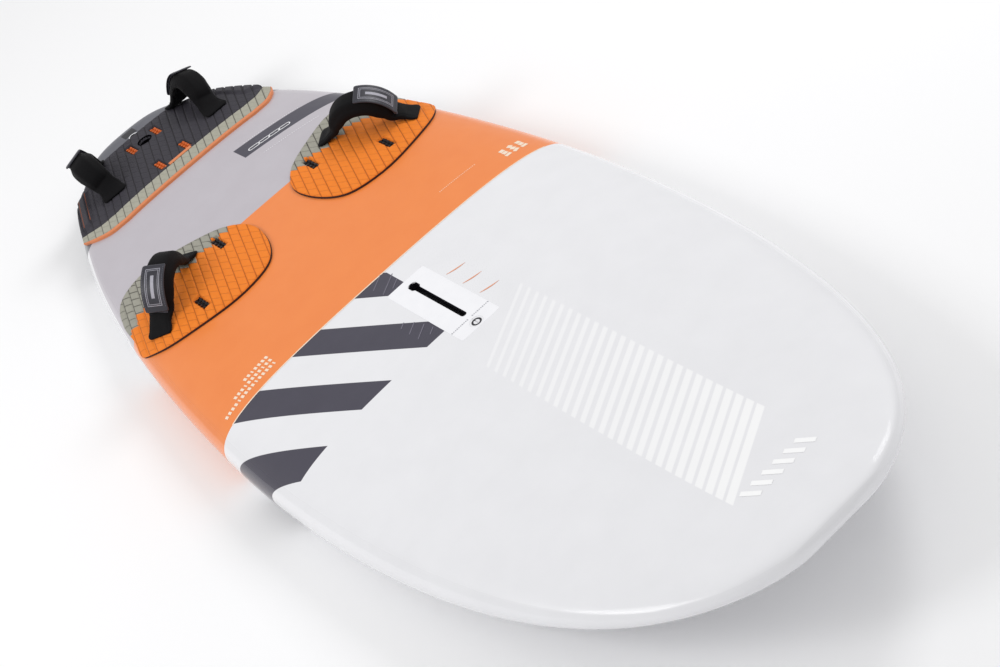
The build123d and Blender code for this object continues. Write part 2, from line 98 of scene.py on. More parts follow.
def start_material(name):
    """New material: its tree, its Principled shader, and the position in metres in the board's frame."""
    made = bpy.data.materials.new(name)
    made.use_nodes = True
    tree = made.node_tree
    shader = tree.nodes["Principled BSDF"]
    place = add(tree, "TexCoord").node.outputs["Object"]
    return made, tree, shader, place


def dress(node_name, material):
    """Give a CAD node its material."""
    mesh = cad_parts[node_name].data
    mesh.materials.clear()
    mesh.materials.append(material)


def foam_material(name, dark, light, bead_mm):
    """Cut foam: matt cells, each bead a little lighter or darker."""
    made, tree, shader, place = start_material(name)
    cells = add(tree, "TexVoronoi", place, Scale=1000 / bead_mm).node
    colour = add(tree, "Mix", cells.outputs["Color"], linear(dark), linear(light), data_type="RGBA")
    tree.links.new(colour, shader.inputs["Base Color"])
    shader.inputs["Roughness"].default_value = 0.9
    relief = add(tree, "Bump", Height=cells.outputs["Distance"], Distance=0.4e-3)
    tree.links.new(relief, shader.inputs["Normal"])
    return made


dress("foam_core", foam_material("expanded_polystyrene", "#E2E2DE", "#F4F4F0", 4))
dense_foam = foam_material("pvc_foam", "#B8A070", "#CDB88A", 1.5)
dress("mast_track_block", dense_foam)
dress("fin_box_block", dense_foam)

# ------------------------------------------------------------------ laminate shell
# Glass and epoxy skins over the core, vacuum bagged, faired, sprayed and wet-sanded. The two skins meet
# below the widest line of the rail. The deck is sprayed in bands; slate bars cross its starboard side.
HALF_LENGTH = 1.180
HALF_WIDTH = 0.429
WIDE_POINT = 0.150
TIP_MARGIN = 0.004
TIP_RADIUS = 0.058
DECK_MIDDLE = 0.137            # deck height on the centreline at X = 0
DECK_SLOPE = 0.0265
NOSE_LIFT, NOSE_LIFT_START = 0.040, 0.600
TAIL_DROP, TAIL_DROP_START = 0.033, 0.480
NOSE_ROCKER, ROCKER_POWER = 0.166, 2.5
FLAT_TRIM = 0.001              # the flat is formed this much low, then trued at Z = 0
RAIL_LEVEL = 0.42
RAIL_TUCK = 0.070
DECK_RAIL_HANDLE = 0.80
DECK_CROWN_HANDLE = 0.75
TUCK_HANDLE = 0.60


def outline(x):
    """Half-width of the board at stations x."""
    x = np.asarray(x, float)
    fore = np.clip((x - WIDE_POINT) / (HALF_LENGTH + TIP_MARGIN - WIDE_POINT), 0, 1)
    aft = np.clip((WIDE_POINT - x) / (HALF_LENGTH + TIP_MARGIN + WIDE_POINT), 0, 1)
    return HALF_WIDTH * np.where(
        x > WIDE_POINT, (1 - fore**2.2) ** (1 / 2.3), (1 - aft**1.6) ** (1 / 2.4)
    )


def heights(x):
    """Heights of the bottom, of the widest line and of the deck's middle at stations x."""
    x = np.asarray(x, float)
    deck = DECK_MIDDLE + DECK_SLOPE * x
    deck = deck + NOSE_LIFT * np.clip((x - NOSE_LIFT_START) / (HALF_LENGTH - NOSE_LIFT_START), 0, 1) ** 3
    deck = deck - TAIL_DROP * np.clip((-TAIL_DROP_START - x) / (HALF_LENGTH - TAIL_DROP_START), 0, 1) ** 1.2
    bottom = -FLAT_TRIM + NOSE_ROCKER * np.clip(x / HALF_LENGTH, 0, 1) ** ROCKER_POWER
    rail = bottom + RAIL_LEVEL * (deck - bottom)
    near_tip = np.clip((abs(x) - HALF_LENGTH + TIP_RADIUS) / (TIP_RADIUS + TIP_MARGIN), 0, 1)
    fullness = np.sqrt(1 - near_tip**3)
    return rail - (rail - bottom) * fullness, rail, rail + (deck - rail) * fullness


def bezier(t, *controls):
    a, b, c, d = controls
    return (1 - t) ** 3 * a + 3 * (1 - t) ** 2 * t * b + 3 * (1 - t) * t**2 * c + t**3 * d


QUARTER = np.linspace(0, 1, 400)
ACROSS = bezier(QUARTER, 1, 1, DECK_CROWN_HANDLE, 0)
RISE = bezier(QUARTER, 0, DECK_RAIL_HANDLE, 1, 1)


def deck_z(x, y):
    """Height of the deck."""
    _, rail, deck = heights(x)
    share = np.interp(np.abs(y) / outline(x), ACROSS[::-1], RISE[::-1])
    return rail + (deck - rail) * share


def on_deck(x, y, lift):
    """Points lifted off the deck, square to it."""
    x, y, lift = np.broadcast_arrays(np.asarray(x, float), np.asarray(y, float), lift)
    step = 0.001
    slope_x = (deck_z(x + step, y) - deck_z(x - step, y)) / (2 * step)
    slope_y = (deck_z(x, y + step) - deck_z(x, y - step)) / (2 * step)
    normal = np.stack([-slope_x, -slope_y, np.ones_like(slope_x)], -1)
    normal /= np.linalg.norm(normal, axis=-1, keepdims=True)
    return np.stack([x, y, deck_z(x, y)], -1) + normal * lift[..., None]


def grid_faces(rows, columns, closed=False):
    """Quads of a rows x columns grid; closed joins the last column to the first."""
    r = np.arange(rows - 1)[:, None]
    c = np.arange(columns if closed else columns - 1)[None, :]
    nxt = (c + 1) % columns
    quads = np.stack([r * columns + c, r * columns + nxt, (r + 1) * columns + nxt, (r + 1) * columns + c],
                     -1)
    return quads.reshape(-1, 4)


def make_piece(name, points, faces, material, smooth=True):
    """Mesh object from points and faces."""
    mesh = bpy.data.meshes.new(name)
    mesh.from_pydata(np.asarray(points).reshape(-1, 3).tolist(), [], [list(map(int, f)) for f in faces])
    mesh.validate()
    mesh.update()
    if smooth:
        mesh.polygons.foreach_set("use_smooth", [True] * len(mesh.polygons))
    mesh.materials.append(material)
    made = bpy.data.objects.new(name, mesh)
    bpy.context.scene.collection.objects.link(made)
    return made


def hull_ring(x):
    """Closed section at station x, from the middle of the bottom round by port."""
    half = float(outline(x))
    bottom, rail, deck = (float(v) for v in heights(x))
    flat = half - min(RAIL_TUCK, 0.4 * half)
    t = np.linspace(0, 1, 17)[1:]
    tuck_y = bezier(t, flat, flat + TUCK_HANDLE * (half - flat), half, half)
    tuck_z = bezier(t, bottom, bottom, rail - TUCK_HANDLE * (rail - bottom), rail)
    t = np.linspace(0, 1, 41)[1:]
    crown_y = half * bezier(t, 1, 1, DECK_CROWN_HANDLE, 0)
    crown_z = rail + (deck - rail) * bezier(t, 0, DECK_RAIL_HANDLE, 1, 1)
    y = np.concatenate([np.linspace(0, flat, 12), tuck_y, crown_y])
    z = np.concatenate([np.full(12, bottom), tuck_z, crown_z])
    y = np.concatenate([y, -y[-2:0:-1]])
    z = np.concatenate([z, z[-2:0:-1]])
    return np.stack([np.full_like(y, x), y, np.maximum(z, 0.0)], -1)


def hull_paint():
    """Two-pack polyurethane over epoxy: satin on the deck with fine anti-slip grit, gloss on the rails."""
    made, tree, shader, place = start_material("sprayed_polyurethane")
    x, y, z = add(tree, "SeparateXYZ", place).node.outputs
    cloud = add(tree, "TexNoise", place, Scale=1000 / 60, Detail=4.0)
    white = add(tree, "Mix", cloud, linear("#E6E6E9"), linear("#EDEDF0"), data_type="RGBA")
    orange = add(tree, "Mix", cloud, linear("#EE8238"), linear("#F48B40"), data_type="RGBA")
    lilac = add(tree, "Mix", cloud, linear("#B9B3BA"), linear("#C1BCC3"), data_type="RGBA")
    slate = add(tree, "Mix", cloud, linear("#353241"), linear("#3E3B4B"), data_type="RGBA")
    tail = add(tree, "Mix", cloud, linear("#4E4F58"), linear("#5C5D67"), data_type="RGBA")
    edge = 0.0003          # half the width over which one colour gives way to the next, sprayed to a mask
    behind_border = add(tree, "MapRange", x, -edge, edge, 1.0, 0.0)
    ahead = add(tree, "MapRange", x, -edge, edge)
    behind_orange = add(tree, "MapRange", x, -0.456 - edge, -0.456 + edge, 1.0, 0.0)
    colour = add(tree, "Mix", behind_border, white, orange, data_type="RGBA")
    colour = add(tree, "Mix", behind_orange, colour, lilac, data_type="RGBA")

    # Slate bars on the starboard bow, slanting aft towards the rail.
    first_bar, bar_pitch, bar_width, bar_slope = 0.006, 0.151, 0.070, 0.568
    slanted = add(tree, "Math", x, bar_slope, operation="MULTIPLY")
    depth = add(tree, "Math", slanted, y, operation="SUBTRACT")
    bars = 0.0
    for n in range(4):
        top = first_bar + bar_pitch * n
        foot = top + bar_width
        past_top = add(tree, "MapRange", depth, top - edge, top + edge)
        before_foot = add(tree, "MapRange", depth, foot - edge, foot + edge, 1.0, 0.0)
        one = add(tree, "Math", past_top, before_foot, operation="MULTIPLY")
        bars = add(tree, "Math", bars, one, operation="ADD")
    short_of_nose = add(tree, "MapRange", x, 0.252 - edge, 0.252 + edge, 1.0, 0.0)
    off_middle = add(tree, "MapRange", y, -0.002 - edge, -0.002 + edge, 1.0, 0.0)
    for limit in (ahead, short_of_nose, off_middle):
        bars = add(tree, "Math", bars, limit, operation="MULTIPLY")
    colour = add(tree, "Mix", bars, colour, slate, data_type="RGBA")

    # Slate band on the port quarter, cut square at its inner end.
    skew = add(tree, "Math", x, add(tree, "Math", y, 0.155, operation="MULTIPLY"), operation="SUBTRACT")
    band = add(tree, "MapRange", skew, -0.666 - edge, -0.666 + edge, 1.0, 0.0)
    band_aft = add(tree, "MapRange", skew, -0.724 - edge, -0.724 + edge)
    band_end = add(tree, "MapRange", y, 0.070 - edge, 0.070 + edge)
    for limit in (band_aft, band_end):
        band = add(tree, "Math", band, limit, operation="MULTIPLY")
    colour = add(tree, "Mix", band, colour, slate, data_type="RGBA")

    # Dark tail, white lower rails and bottom. The white edge sweeps down under the rail ahead of the pads.
    on_tail = add(tree, "MapRange", x, -0.853 - edge, -0.853 + edge, 1.0, 0.0)
    ahead_of_tail = add(tree, "MapRange", x, -0.853 - edge, -0.853 + edge)
    colour = add(tree, "Mix", on_tail, colour, tail, data_type="RGBA")
    white_line = add(tree, "MapRange", x, -0.50, -0.36, 0.070, 0.012, interpolation_type="SMOOTHSTEP")
    height = add(tree, "Math", z, white_line, operation="SUBTRACT")
    aft_rail = add(tree, "MapRange", height, -2 * edge, 2 * edge, 1.0, 0.0)
    for limit in (behind_border, ahead_of_tail):
        aft_rail = add(tree, "Math", aft_rail, limit, operation="MULTIPLY")
    colour = add(tree, "Mix", aft_rail, colour, white, data_type="RGBA")
    low = add(tree, "MapRange", z, 0.012 - 2 * edge, 0.012 + 2 * edge, 1.0, 0.0)
    short_of_bow = add(tree, "MapRange", x, 0.3 - edge, 0.3 + edge, 1.0, 0.0)
    bottom = add(tree, "Math", low, short_of_bow, operation="MULTIPLY")
    colour = add(tree, "Mix", bottom, colour, white, data_type="RGBA")

    # Gloss bars on the satin nose, opening out towards the tip.
    first_gloss, gloss_pitch = 0.36, 0.0232
    slant = add(tree, "Math", x, add(tree, "Math", y, 0.65, operation="MULTIPLY"), operation="ADD")
    from_first = add(tree, "Math", slant, first_gloss, operation="SUBTRACT")
    count = add(tree, "Math", from_first, gloss_pitch, operation="DIVIDE")
    phase = add(tree, "Math", count, operation="FRACT")
    duty = add(tree, "MapRange", slant, first_gloss, 0.98, 0.34, 0.74)
    past = add(tree, "Math", phase, duty, operation="SUBTRACT")
    stroke = add(tree, "MapRange", past, -0.02, 0.02, 1.0, 0.0)
    port_end = add(tree, "MapRange", y, 0.100 - edge, 0.100 + edge, 1.0, 0.0)
    starboard_end = add(tree, "MapRange", y, -0.060 - edge, -0.060 + edge)
    forward_end = add(tree, "MapRange", slant, 0.985 - edge, 0.985 + edge, 1.0, 0.0)
    aft_end = add(tree, "MapRange", slant, first_gloss - edge, first_gloss + edge)
    for limit in (port_end, starboard_end, forward_end, aft_end):
        stroke = add(tree, "Math", stroke, limit, operation="MULTIPLY")
    brighten = add(tree, "Math", stroke, duty, operation="MULTIPLY")
    brighter = add(tree, "Mix", brighten, colour, linear("#FFFFFF"), data_type="RGBA")
    tree.links.new(brighter, shader.inputs["Base Color"])

    # Satin on top with a glossier rail; grit in the top coat and the slow ripple of faired laminate.
    normal = add(tree, "TexCoord").node.outputs["Normal"]
    normal_z = add(tree, "SeparateXYZ", normal).node.outputs["Z"]
    on_top = add(tree, "MapRange", normal_z, 0.7, 0.9)
    haze = add(tree, "TexNoise", place, Scale=1000 / 18, Detail=3.0)
    satin = add(tree, "MapRange", haze, To_Min=0.30, To_Max=0.42)
    rough = add(tree, "Math", satin, on_top, operation="MULTIPLY")
    rough = add(tree, "Math", rough, 0.10, operation="ADD")
    polished = add(tree, "Math", stroke, 0.26, operation="MULTIPLY")
    rough = add(tree, "Math", rough, polished, operation="SUBTRACT")
    tree.links.new(rough, shader.inputs["Roughness"])
    shader.inputs["IOR"].default_value = 1.5
    shader.inputs["Coat Weight"].default_value = 0.25
    shader.inputs["Coat Roughness"].default_value = 0.06
    grit = add(tree, "TexNoise", place, Scale=1000 / 1.1, Detail=2.0)
    ripple = add(tree, "TexNoise", place, Scale=1000 / 45, Detail=2.0)
    top_grit = add(tree, "Math", grit, on_top, operation="MULTIPLY")
    ripple = add(tree, "Math", ripple, 3.0, operation="MULTIPLY")
    relief = add(tree, "Math", top_grit, ripple, operation="ADD")
    relief = add(tree, "Bump", Height=relief, Distance=0.05e-3, Strength=0.35)
    tree.links.new(relief, shader.inputs["Normal"])
    return made


HULL_STATIONS = 340
NOSE_CAP = 0.010
TRACK_POCKET = (0.074, 0.270, 0.021)      # aft end, forward end, half-width
FIN_POCKET = (-1.142, -0.980, 0.016)
FIN_BOLTS = (-1.026, -1.097)
FIN_SINK_RADIUS = 0.009
VENT_X = 0.293
VENT_RADIUS = 0.013


def box_points(x0, x1, half, z0, z1):
    """Corners and faces of a plain cutting block."""
    points = [(x, y, z) for z in (z0, z1) for x, y in ((x0, -half), (x1, -half), (x1, half), (x0, half))]
    faces = [(3, 2, 1, 0), (4, 5, 6, 7)] + [(i, (i + 1) % 4, (i + 1) % 4 + 4, i + 4) for i in range(4)]
    return points, faces


def drum_points(x, radius, z0, z1, sides=48):
    """Corners and faces of a round cutting tool."""
    angles = np.arange(sides) * 2 * math.pi / sides
    ring = [(x + radius * math.cos(a), radius * math.sin(a)) for a in angles]
    points = [(px, py, z0) for px, py in ring] + [(px, py, z1) for px, py in ring]
    faces = [tuple(range(sides - 1, -1, -1)), tuple(range(sides, 2 * sides))]
    faces += [(i, (i + 1) % sides, (i + 1) % sides + sides, i + sides) for i in range(sides)]
    return points, faces


def cut_out(piece, tools):
    """Cut closed tools out of a piece and drop them."""
    points, faces = [], []
    for tool_points, tool_faces in tools:
        faces += [tuple(i + len(points) for i in f) for f in tool_faces]
        points += tool_points
    tool = make_piece("cutting_tool", points, faces, piece.data.materials[0], smooth=False)
    carve = piece.modifiers.new("pockets", "BOOLEAN")
    carve.operation = "DIFFERENCE"
    carve.solver = "EXACT"
    carve.object = tool
    bpy.context.view_layer.update()
    carved = bpy.data.meshes.new_from_object(piece.evaluated_get(bpy.context.evaluated_depsgraph_get()))
    piece.modifiers.remove(carve)
    piece.data = carved
    bpy.data.objects.remove(tool)
    carved.polygons.foreach_set("use_smooth", [True] * len(carved.polygons))
    carved.set_sharp_from_angle(angle=math.radians(38))


# Stations crowd towards the tips, where the ends are sanded round.
turns = np.linspace(0, math.pi, HULL_STATIONS)
stations = -(HALF_LENGTH - NOSE_CAP) * (0.80 * np.cos(turns) + 0.20 * (1 - 2 * turns / math.pi))
from_tip = np.array([0.0, 0.0003, 0.0009, 0.0018, 0.003, 0.0045, 0.0062, 0.008])
stations = np.concatenate([from_tip - HALF_LENGTH, stations, (HALF_LENGTH - from_tip)[::-1]])
rings = np.array([hull_ring(x) for x in stations])
roundness = np.clip((HALF_LENGTH - np.abs(stations)) / NOSE_CAP, 0, 1)
shrink = np.maximum((1 - (1 - roundness) ** 2) ** 0.5, 0.02)[:, None]
middle_z = (rings[:, :, 2].max(1) + rings[:, :, 2].min(1))[:, None] / 2
rings[:, :, 1] *= 0.25 + 0.75 * shrink
rings[:, :, 2] = middle_z + (rings[:, :, 2] - middle_z) * shrink
ring_size = rings.shape[1]
faces = [tuple(f) for f in grid_faces(len(stations), ring_size, closed=True)]
faces.append(tuple(range(ring_size)))
faces.append(tuple(range(len(stations) * ring_size - 1, (len(stations) - 1) * ring_size - 1, -1)))
hull = make_piece("board_shell", rings, faces, hull_paint())
track_top = float(deck_z(0.172, 0.0))
vent_top = float(deck_z(VENT_X, 0.0))
tools = [
    box_points(*TRACK_POCKET, track_top - 0.034, track_top + 0.05),
    drum_points(VENT_X, VENT_RADIUS, vent_top - 0.024, vent_top + 0.05),
    box_points(*FIN_POCKET, -0.05, 0.064),
]
tools += [drum_points(x, FIN_SINK_RADIUS, 0.0639, 0.15) for x in FIN_BOLTS]
cut_out(hull, tools)
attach(hull, "board")
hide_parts("deck_skin", "bottom_skin")

# ------------------------------------------------------------------ painted marks
# Small stencilled marks in place of lettering, each a thin film of paint on the deck: rows of short
# bars on the orange, rounded outlines on the slate band, and dotted register lines.
PAINT_LIFT = 0.00035


def deck_film(name, quads, material, lift=PAINT_LIFT, steps=4):
    """Film patches on the deck; each quad is four (x, y) corners in order."""
    points, faces = [], []
    ramp = np.linspace(0, 1, steps)
    for corners in quads:
        a, b, c, d = (np.array(corner, float) for corner in corners)
        u, v = np.meshgrid(ramp, ramp, indexing="ij")
        u, v = u[..., None], v[..., None]
        flat = a * (1 - u) * (1 - v) + b * u * (1 - v) + c * u * v + d * (1 - u) * v
        grid = on_deck(flat[..., 0], flat[..., 1], lift)
        faces += [tuple(int(i) + len(points) for i in f) for f in grid_faces(steps, steps)]
        points += [tuple(p) for p in grid.reshape(-1, 3)]
    film = make_piece(name, points, faces, material)
    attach(film, "board")
    return film


def bar(x, y, length, width, angle):
    """Corners of a bar centred at x, y, its length at angle degrees from the X axis."""
    c, s = math.cos(math.radians(angle)), math.sin(math.radians(angle))
    ends = ((-1, -1), (1, -1), (1, 1), (-1, 1))
    return [(x + i * length / 2 * c - j * width / 2 * s, y + i * length / 2 * s + j * width / 2 * c)
            for i, j in ends]


def ring_quads(x, y, length, width, line, angle):
    """Quads round a capsule's outline."""
    corner = width / 2
    c, s = math.cos(math.radians(angle)), math.sin(math.radians(angle))
    outline_points = []
    for quarter, (i, j) in enumerate(((1, 1), (-1, 1), (-1, -1), (1, -1))):
        for k in range(7):
            a = math.radians(90 * quarter + 15 * k)
            centre = (i * (length / 2 - corner), j * (width / 2 - corner))
            outline_points.append((*centre, math.cos(a), math.sin(a)))
    quads = []
    for p, q in zip(outline_points, outline_points[1:] + outline_points[:1]):
        corners = []
        for (ox, oy, nx, ny), radius in ((p, corner), (q, corner), (q, corner - line), (p, corner - line)):
            u, v = ox + radius * nx, oy + radius * ny
            corners.append((x + u * c - v * s, y + u * s + v * c))
        quads.append(corners)
    return quads


def stencil_paint(name, dark, light, roughness):
    """Thin sprayed lacquer: a little uneven, glossier than the deck under it."""
    made, tree, shader, place = start_material(name)
    cloud = add(tree, "TexNoise", place, Scale=1000 / 6, Detail=3.0)
    colour = add(tree, "Mix", cloud, linear(dark), linear(light), data_type="RGBA")
    tree.links.new(colour, shader.inputs["Base Color"])
    rough = add(tree, "MapRange", cloud, To_Min=roughness, To_Max=roughness + 0.12)
    tree.links.new(rough, shader.inputs["Roughness"])
    fine = add(tree, "TexNoise", place, Scale=1000 / 1.2, Detail=3.0)
    relief = add(tree, "Bump", Height=fine, Distance=0.03e-3, Strength=0.4)
    tree.links.new(relief, shader.inputs["Normal"])
    return made


cream_lacquer = stencil_paint("cream_lacquer", "#F3D9BC", "#FBEBD8", 0.35)
rows = []
for row in range(3):
    for i in range(15 - 4 * row):
        width = 0.0052 if (i * 7 + row) % 5 else 0.0030
        rows.append(bar(-0.0260 - 0.0145 * row, -0.2530 - 0.0088 * i, 0.0088, width, 12))
for row in range(3):
    for i in range(3):
        size = (0.012, 0.010) if row else (0.010, 0.013)
        rows.append(bar(-0.040 - 0.011 * row, 0.327 + 0.018 * i, size[0] * 0.8, size[1], 8 + 20 * (i % 2)))
for i in range(22):
    rows.append(bar(-0.0785, 0.190 + 0.004 * i, 0.002, 0.0018, 0))
deck_film("stencil_bars", rows, cream_lacquer, steps=2)
deck_film("cream_border", [[(-0.0015, y), (0.0013, y), (0.0013, y + 0.02), (-0.0015, y + 0.02)]
                           for y in np.arange(-0.38, 0.38, 0.02)], cream_lacquer, steps=2)

white_lacquer = stencil_paint("white_lacquer", "#E6E6EA", "#F6F6F8", 0.3)
links = []
for i in range(4):
    y = 0.102 + 0.0245 * i
    links += ring_quads(-0.6745 + 0.155 * (y - 0.07), y, 0.0290, 0.0130, 0.0026, 81.2)
for side in (-0.048, 0.044):
    for i in range(26):
        y = 0.100 + 0.0052 * i
        links.append(bar(-0.6690 + side + 0.155 * (y - 0.07), y, 0.0019, 0.0024, 0))
deck_film("white_links", links, white_lacquer, steps=2)

flame_lacquer = stencil_paint("flame_lacquer", "#E0875C", "#EDA67E", 0.3)
slashes = []
for x in (0.135, 0.187, 0.240):
    for i in range(9):
        ends = []
        for k in (i, i + 1):
            t = k / 9
            thick = 0.0013 * math.sin(math.pi * min(1, 0.04 + t * 0.98)) + 0.0003
            ends.append((x - 0.001 + 0.016 * t - 0.006 * t * t, 0.049 + 0.037 * t, thick))
        (x0, y0, w0), (x1, y1, w1) = ends
        slashes.append([(x0 - w0, y0), (x0 + w0, y0), (x1 + w1, y1), (x1 - w1, y1)])
deck_film("trim_slashes", slashes, flame_lacquer, steps=2)

clear_gloss = stencil_paint("clear_gloss", "#FAFAFB", "#FFFFFF", 0.06)
nose_shapes = []
for i in range(6):
    nose_shapes.append(bar(1.028, 0.078 - 0.022 * i, 0.034, 0.009, 28))
deck_film("nose_gloss_shapes", nose_shapes, clear_gloss, steps=3)

faint_gloss = stencil_paint("slate_gloss", "#6C6977", "#7A7786", 0.08)
streaks = []
for x, y, length in ((0.0114, -0.0288, 0.040), (0.0369, -0.0203, 0.053), (0.0504, -0.0127, 0.025),
                     (0.1598, -0.0734, 0.015), (0.1837, -0.0688, 0.029), (0.2087, -0.0651, 0.036),
                     (0.2268, -0.0542, 0.018)):
    streaks.append(bar(x, y, length, 0.0018, -55))
deck_film("slate_gloss_streaks", streaks, faint_gloss, steps=3)

# ------------------------------------------------------------------ mast track
# Glass-filled nylon box bonded into the deck, open above in a keyhole slot that takes the mast foot's
# nut. A glossy white plate with a rubbed edge covers its flange; the forward end holds the vent.
PLATE_AFT, PLATE_FORE, PLATE_HALF = 0.065, 0.309, 0.043
PLATE_LIFT = 0.0007


def slot_half_width(x):
    """Half-width of what is cut out of the plate at station x."""
    cut = np.interp(x, [0.0838, 0.0840, 0.0885, 0.1030, 0.1080, 0.2535, 0.2536],
                    [0.0, 0.0045, 0.0092, 0.0092, 0.0056, 0.0056, 0.0])
    tip = np.clip(1 - ((x - 0.2535) / 0.0057) ** 2, 0, 1) ** 0.5 * 0.0056
    cut = np.where((x >= 0.2535) & (x < 0.2592), tip, cut)
    vent = np.clip(0.0133**2 - (x - VENT_X) ** 2, 0, 1) ** 0.5
    return np.maximum(cut, vent)


def plate_half_width(x):
    """Half-width of the plate, with rounded corners."""
    near = np.clip(np.maximum(PLATE_AFT + 0.006 - x, x - PLATE_FORE + 0.006) / 0.006, 0, 1)
    return PLATE_HALF - 0.006 * (1 - np.sqrt(1 - near**2))


def plate_material():
    """Glossy white gel coat: hard, faintly waved, with fine scratches from the mast foot."""
    made, tree, shader, place = start_material("gel_coat")
    cloud = add(tree, "TexNoise", place, Scale=1000 / 20, Detail=3.0)
    colour = add(tree, "Mix", cloud, linear("#F1F1F5"), linear("#F8F8FB"), data_type="RGBA")
    tree.links.new(colour, shader.inputs["Base Color"])
    stretched = add(tree, "Mapping", place, Scale=(40.0, 900.0, 900.0))    # scratches run along the slot
    scratches = add(tree, "TexNoise", stretched, Scale=1.0, Detail=2.0)
    rough = add(tree, "MapRange", scratches, To_Min=0.05, To_Max=0.22)
    tree.links.new(rough, shader.inputs["Roughness"])
    fine = add(tree, "TexNoise", place, Scale=1000 / 12, Detail=3.0)
    relief = add(tree, "Bump", Height=fine, Distance=0.05e-3, Strength=0.4)
    tree.links.new(relief, shader.inputs["Normal"])
    return made


def glass_nylon(name, dark, light):
    """Moulded glass-filled nylon: satin, with a fine spark-eroded texture."""
    made, tree, shader, place = start_material(name)
    cloud = add(tree, "TexNoise", place, Scale=1000 / 3, Detail=3.0)
    colour = add(tree, "Mix", cloud, linear(dark), linear(light), data_type="RGBA")
    tree.links.new(colour, shader.inputs["Base Color"])
    rough = add(tree, "MapRange", cloud, To_Min=0.38, To_Max=0.58)
    tree.links.new(rough, shader.inputs["Roughness"])
    fine = add(tree, "TexNoise", place, Scale=1000 / 0.6, Detail=3.0)
    relief = add(tree, "Bump", Height=fine, Distance=0.04e-3, Strength=0.6)
    tree.links.new(relief, shader.inputs["Normal"])
    return made


plate_x = np.unique(np.concatenate([
    np.linspace(PLATE_AFT, PLATE_FORE, 90), np.linspace(0.0836, 0.110, 30), np.linspace(0.252, 0.2594, 16),
    np.linspace(VENT_X - 0.0133, VENT_X + 0.0133, 34), np.linspace(PLATE_AFT, PLATE_AFT + 0.006, 8),
    np.linspace(PLATE_FORE - 0.006, PLATE_FORE, 8)]))
inner = slot_half_width(plate_x)
outer = plate_half_width(plate_x)
points, faces = [], []
for side in (1, -1):
    across = np.array([0, 0, 0.02, 0.25, 0.5, 0.75, 0.98, 1, 1])
    lifts = np.array([-0.002, PLATE_LIFT * 0.7, PLATE_LIFT, PLATE_LIFT, PLATE_LIFT, PLATE_LIFT, PLATE_LIFT,
                      PLATE_LIFT * 0.6, -0.0004])
    y = side * (inner[:, None] + (outer - inner)[:, None] * across)
    lift = np.where((inner[:, None] < 1e-6) & (across < 0.01), PLATE_LIFT, lifts[None, :])
    end_drop = np.zeros(len(plate_x))
    end_drop[[0, -1]] = -0.001
    grid = on_deck(np.repeat(plate_x[:, None], len(across), 1), y, lift + end_drop[:, None])
    quads = grid_faces(len(plate_x), len(across))
    quads = quads[:, ::-1] if side < 0 else quads
    faces += [tuple(int(i) + len(points) for i in f) for f in quads]
    points += [tuple(p) for p in grid.reshape(-1, 3)]
plate = make_piece("mast_track_plate", points, faces, plate_material())
plate.data.set_sharp_from_angle(angle=math.radians(50))
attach(plate, "board")
dress("mast_track_box", glass_nylon("black_glass_nylon", "#121119", "#1C1B24"))

grey_lacquer = stencil_paint("grey_lacquer", "#A9A9B0", "#B9B9BF", 0.35)
dots = []
for i in range(22):
    y = -0.041 + 0.0039 * i
    if abs(y) > 0.0035:
        dots.append(bar(0.2735, y, 0.0026 if i % 3 else 0.0036, 0.0022, 10))
deck_film("register_dots", dots, grey_lacquer, lift=PLATE_LIFT + 0.0002, steps=2)

# ------------------------------------------------------------------ air vent
# Acetal housing bonded in flush, a breathing membrane at its foot, and a slotted plug on a rubber
# ring. The plug is turned; painted shade darkens the groove round its head and the bore of the housing.
def vent_acetal(name, light, dark, groove_from, groove_to):
    """Turned acetal: waxy white with fine circular tool marks, and painted shade between two radii."""
    made, tree, shader, place = start_material(name)
    centred = add(tree, "VectorMath", place, (VENT_X, 0, 0), operation="SUBTRACT")
    flat = add(tree, "VectorMath", centred, (1, 1, 0), operation="MULTIPLY")
    radius = add(tree, "VectorMath", flat, operation="LENGTH")
    soft = 0.0002
    within = add(tree, "MapRange", radius, groove_to - soft, groove_to + soft, 1.0, 0.0)
    beyond = add(tree, "MapRange", radius, groove_from - soft, groove_from + soft)
    groove = add(tree, "Math", within, beyond, operation="MULTIPLY")
    cloud = add(tree, "TexNoise", place, Scale=1000 / 2, Detail=3.0)
    white = add(tree, "Mix", cloud, linear(light), linear("#F4F4F6"), data_type="RGBA")
    colour = add(tree, "Mix", groove, white, linear(dark), data_type="RGBA")
    tree.links.new(colour, shader.inputs["Base Color"])
    shader.inputs["Roughness"].default_value = 0.32
    tool_pitch = add(tree, "Math", radius, 2 * math.pi / 0.0005, operation="MULTIPLY")
    marks = add(tree, "Math", tool_pitch, operation="SINE")
    relief = add(tree, "Bump", Height=marks, Distance=0.02e-3, Strength=0.5)
    tree.links.new(relief, shader.inputs["Normal"])
    return made


def moulded_rubber(name):
    """Nitrile rubber: soft black with a matt bloom."""
    made, tree, shader, place = start_material(name)
    cloud = add(tree, "TexNoise", place, Scale=1000 / 2, Detail=3.0)
    colour = add(tree, "Mix", cloud, linear("#17161A"), linear("#242328"), data_type="RGBA")
    tree.links.new(colour, shader.inputs["Base Color"])
    shader.inputs["Roughness"].default_value = 0.72
    fine = add(tree, "TexNoise", place, Scale=1000 / 0.4, Detail=3.0)
    relief = add(tree, "Bump", Height=fine, Distance=0.02e-3, Strength=0.5)
    tree.links.new(relief, shader.inputs["Normal"])
    return made


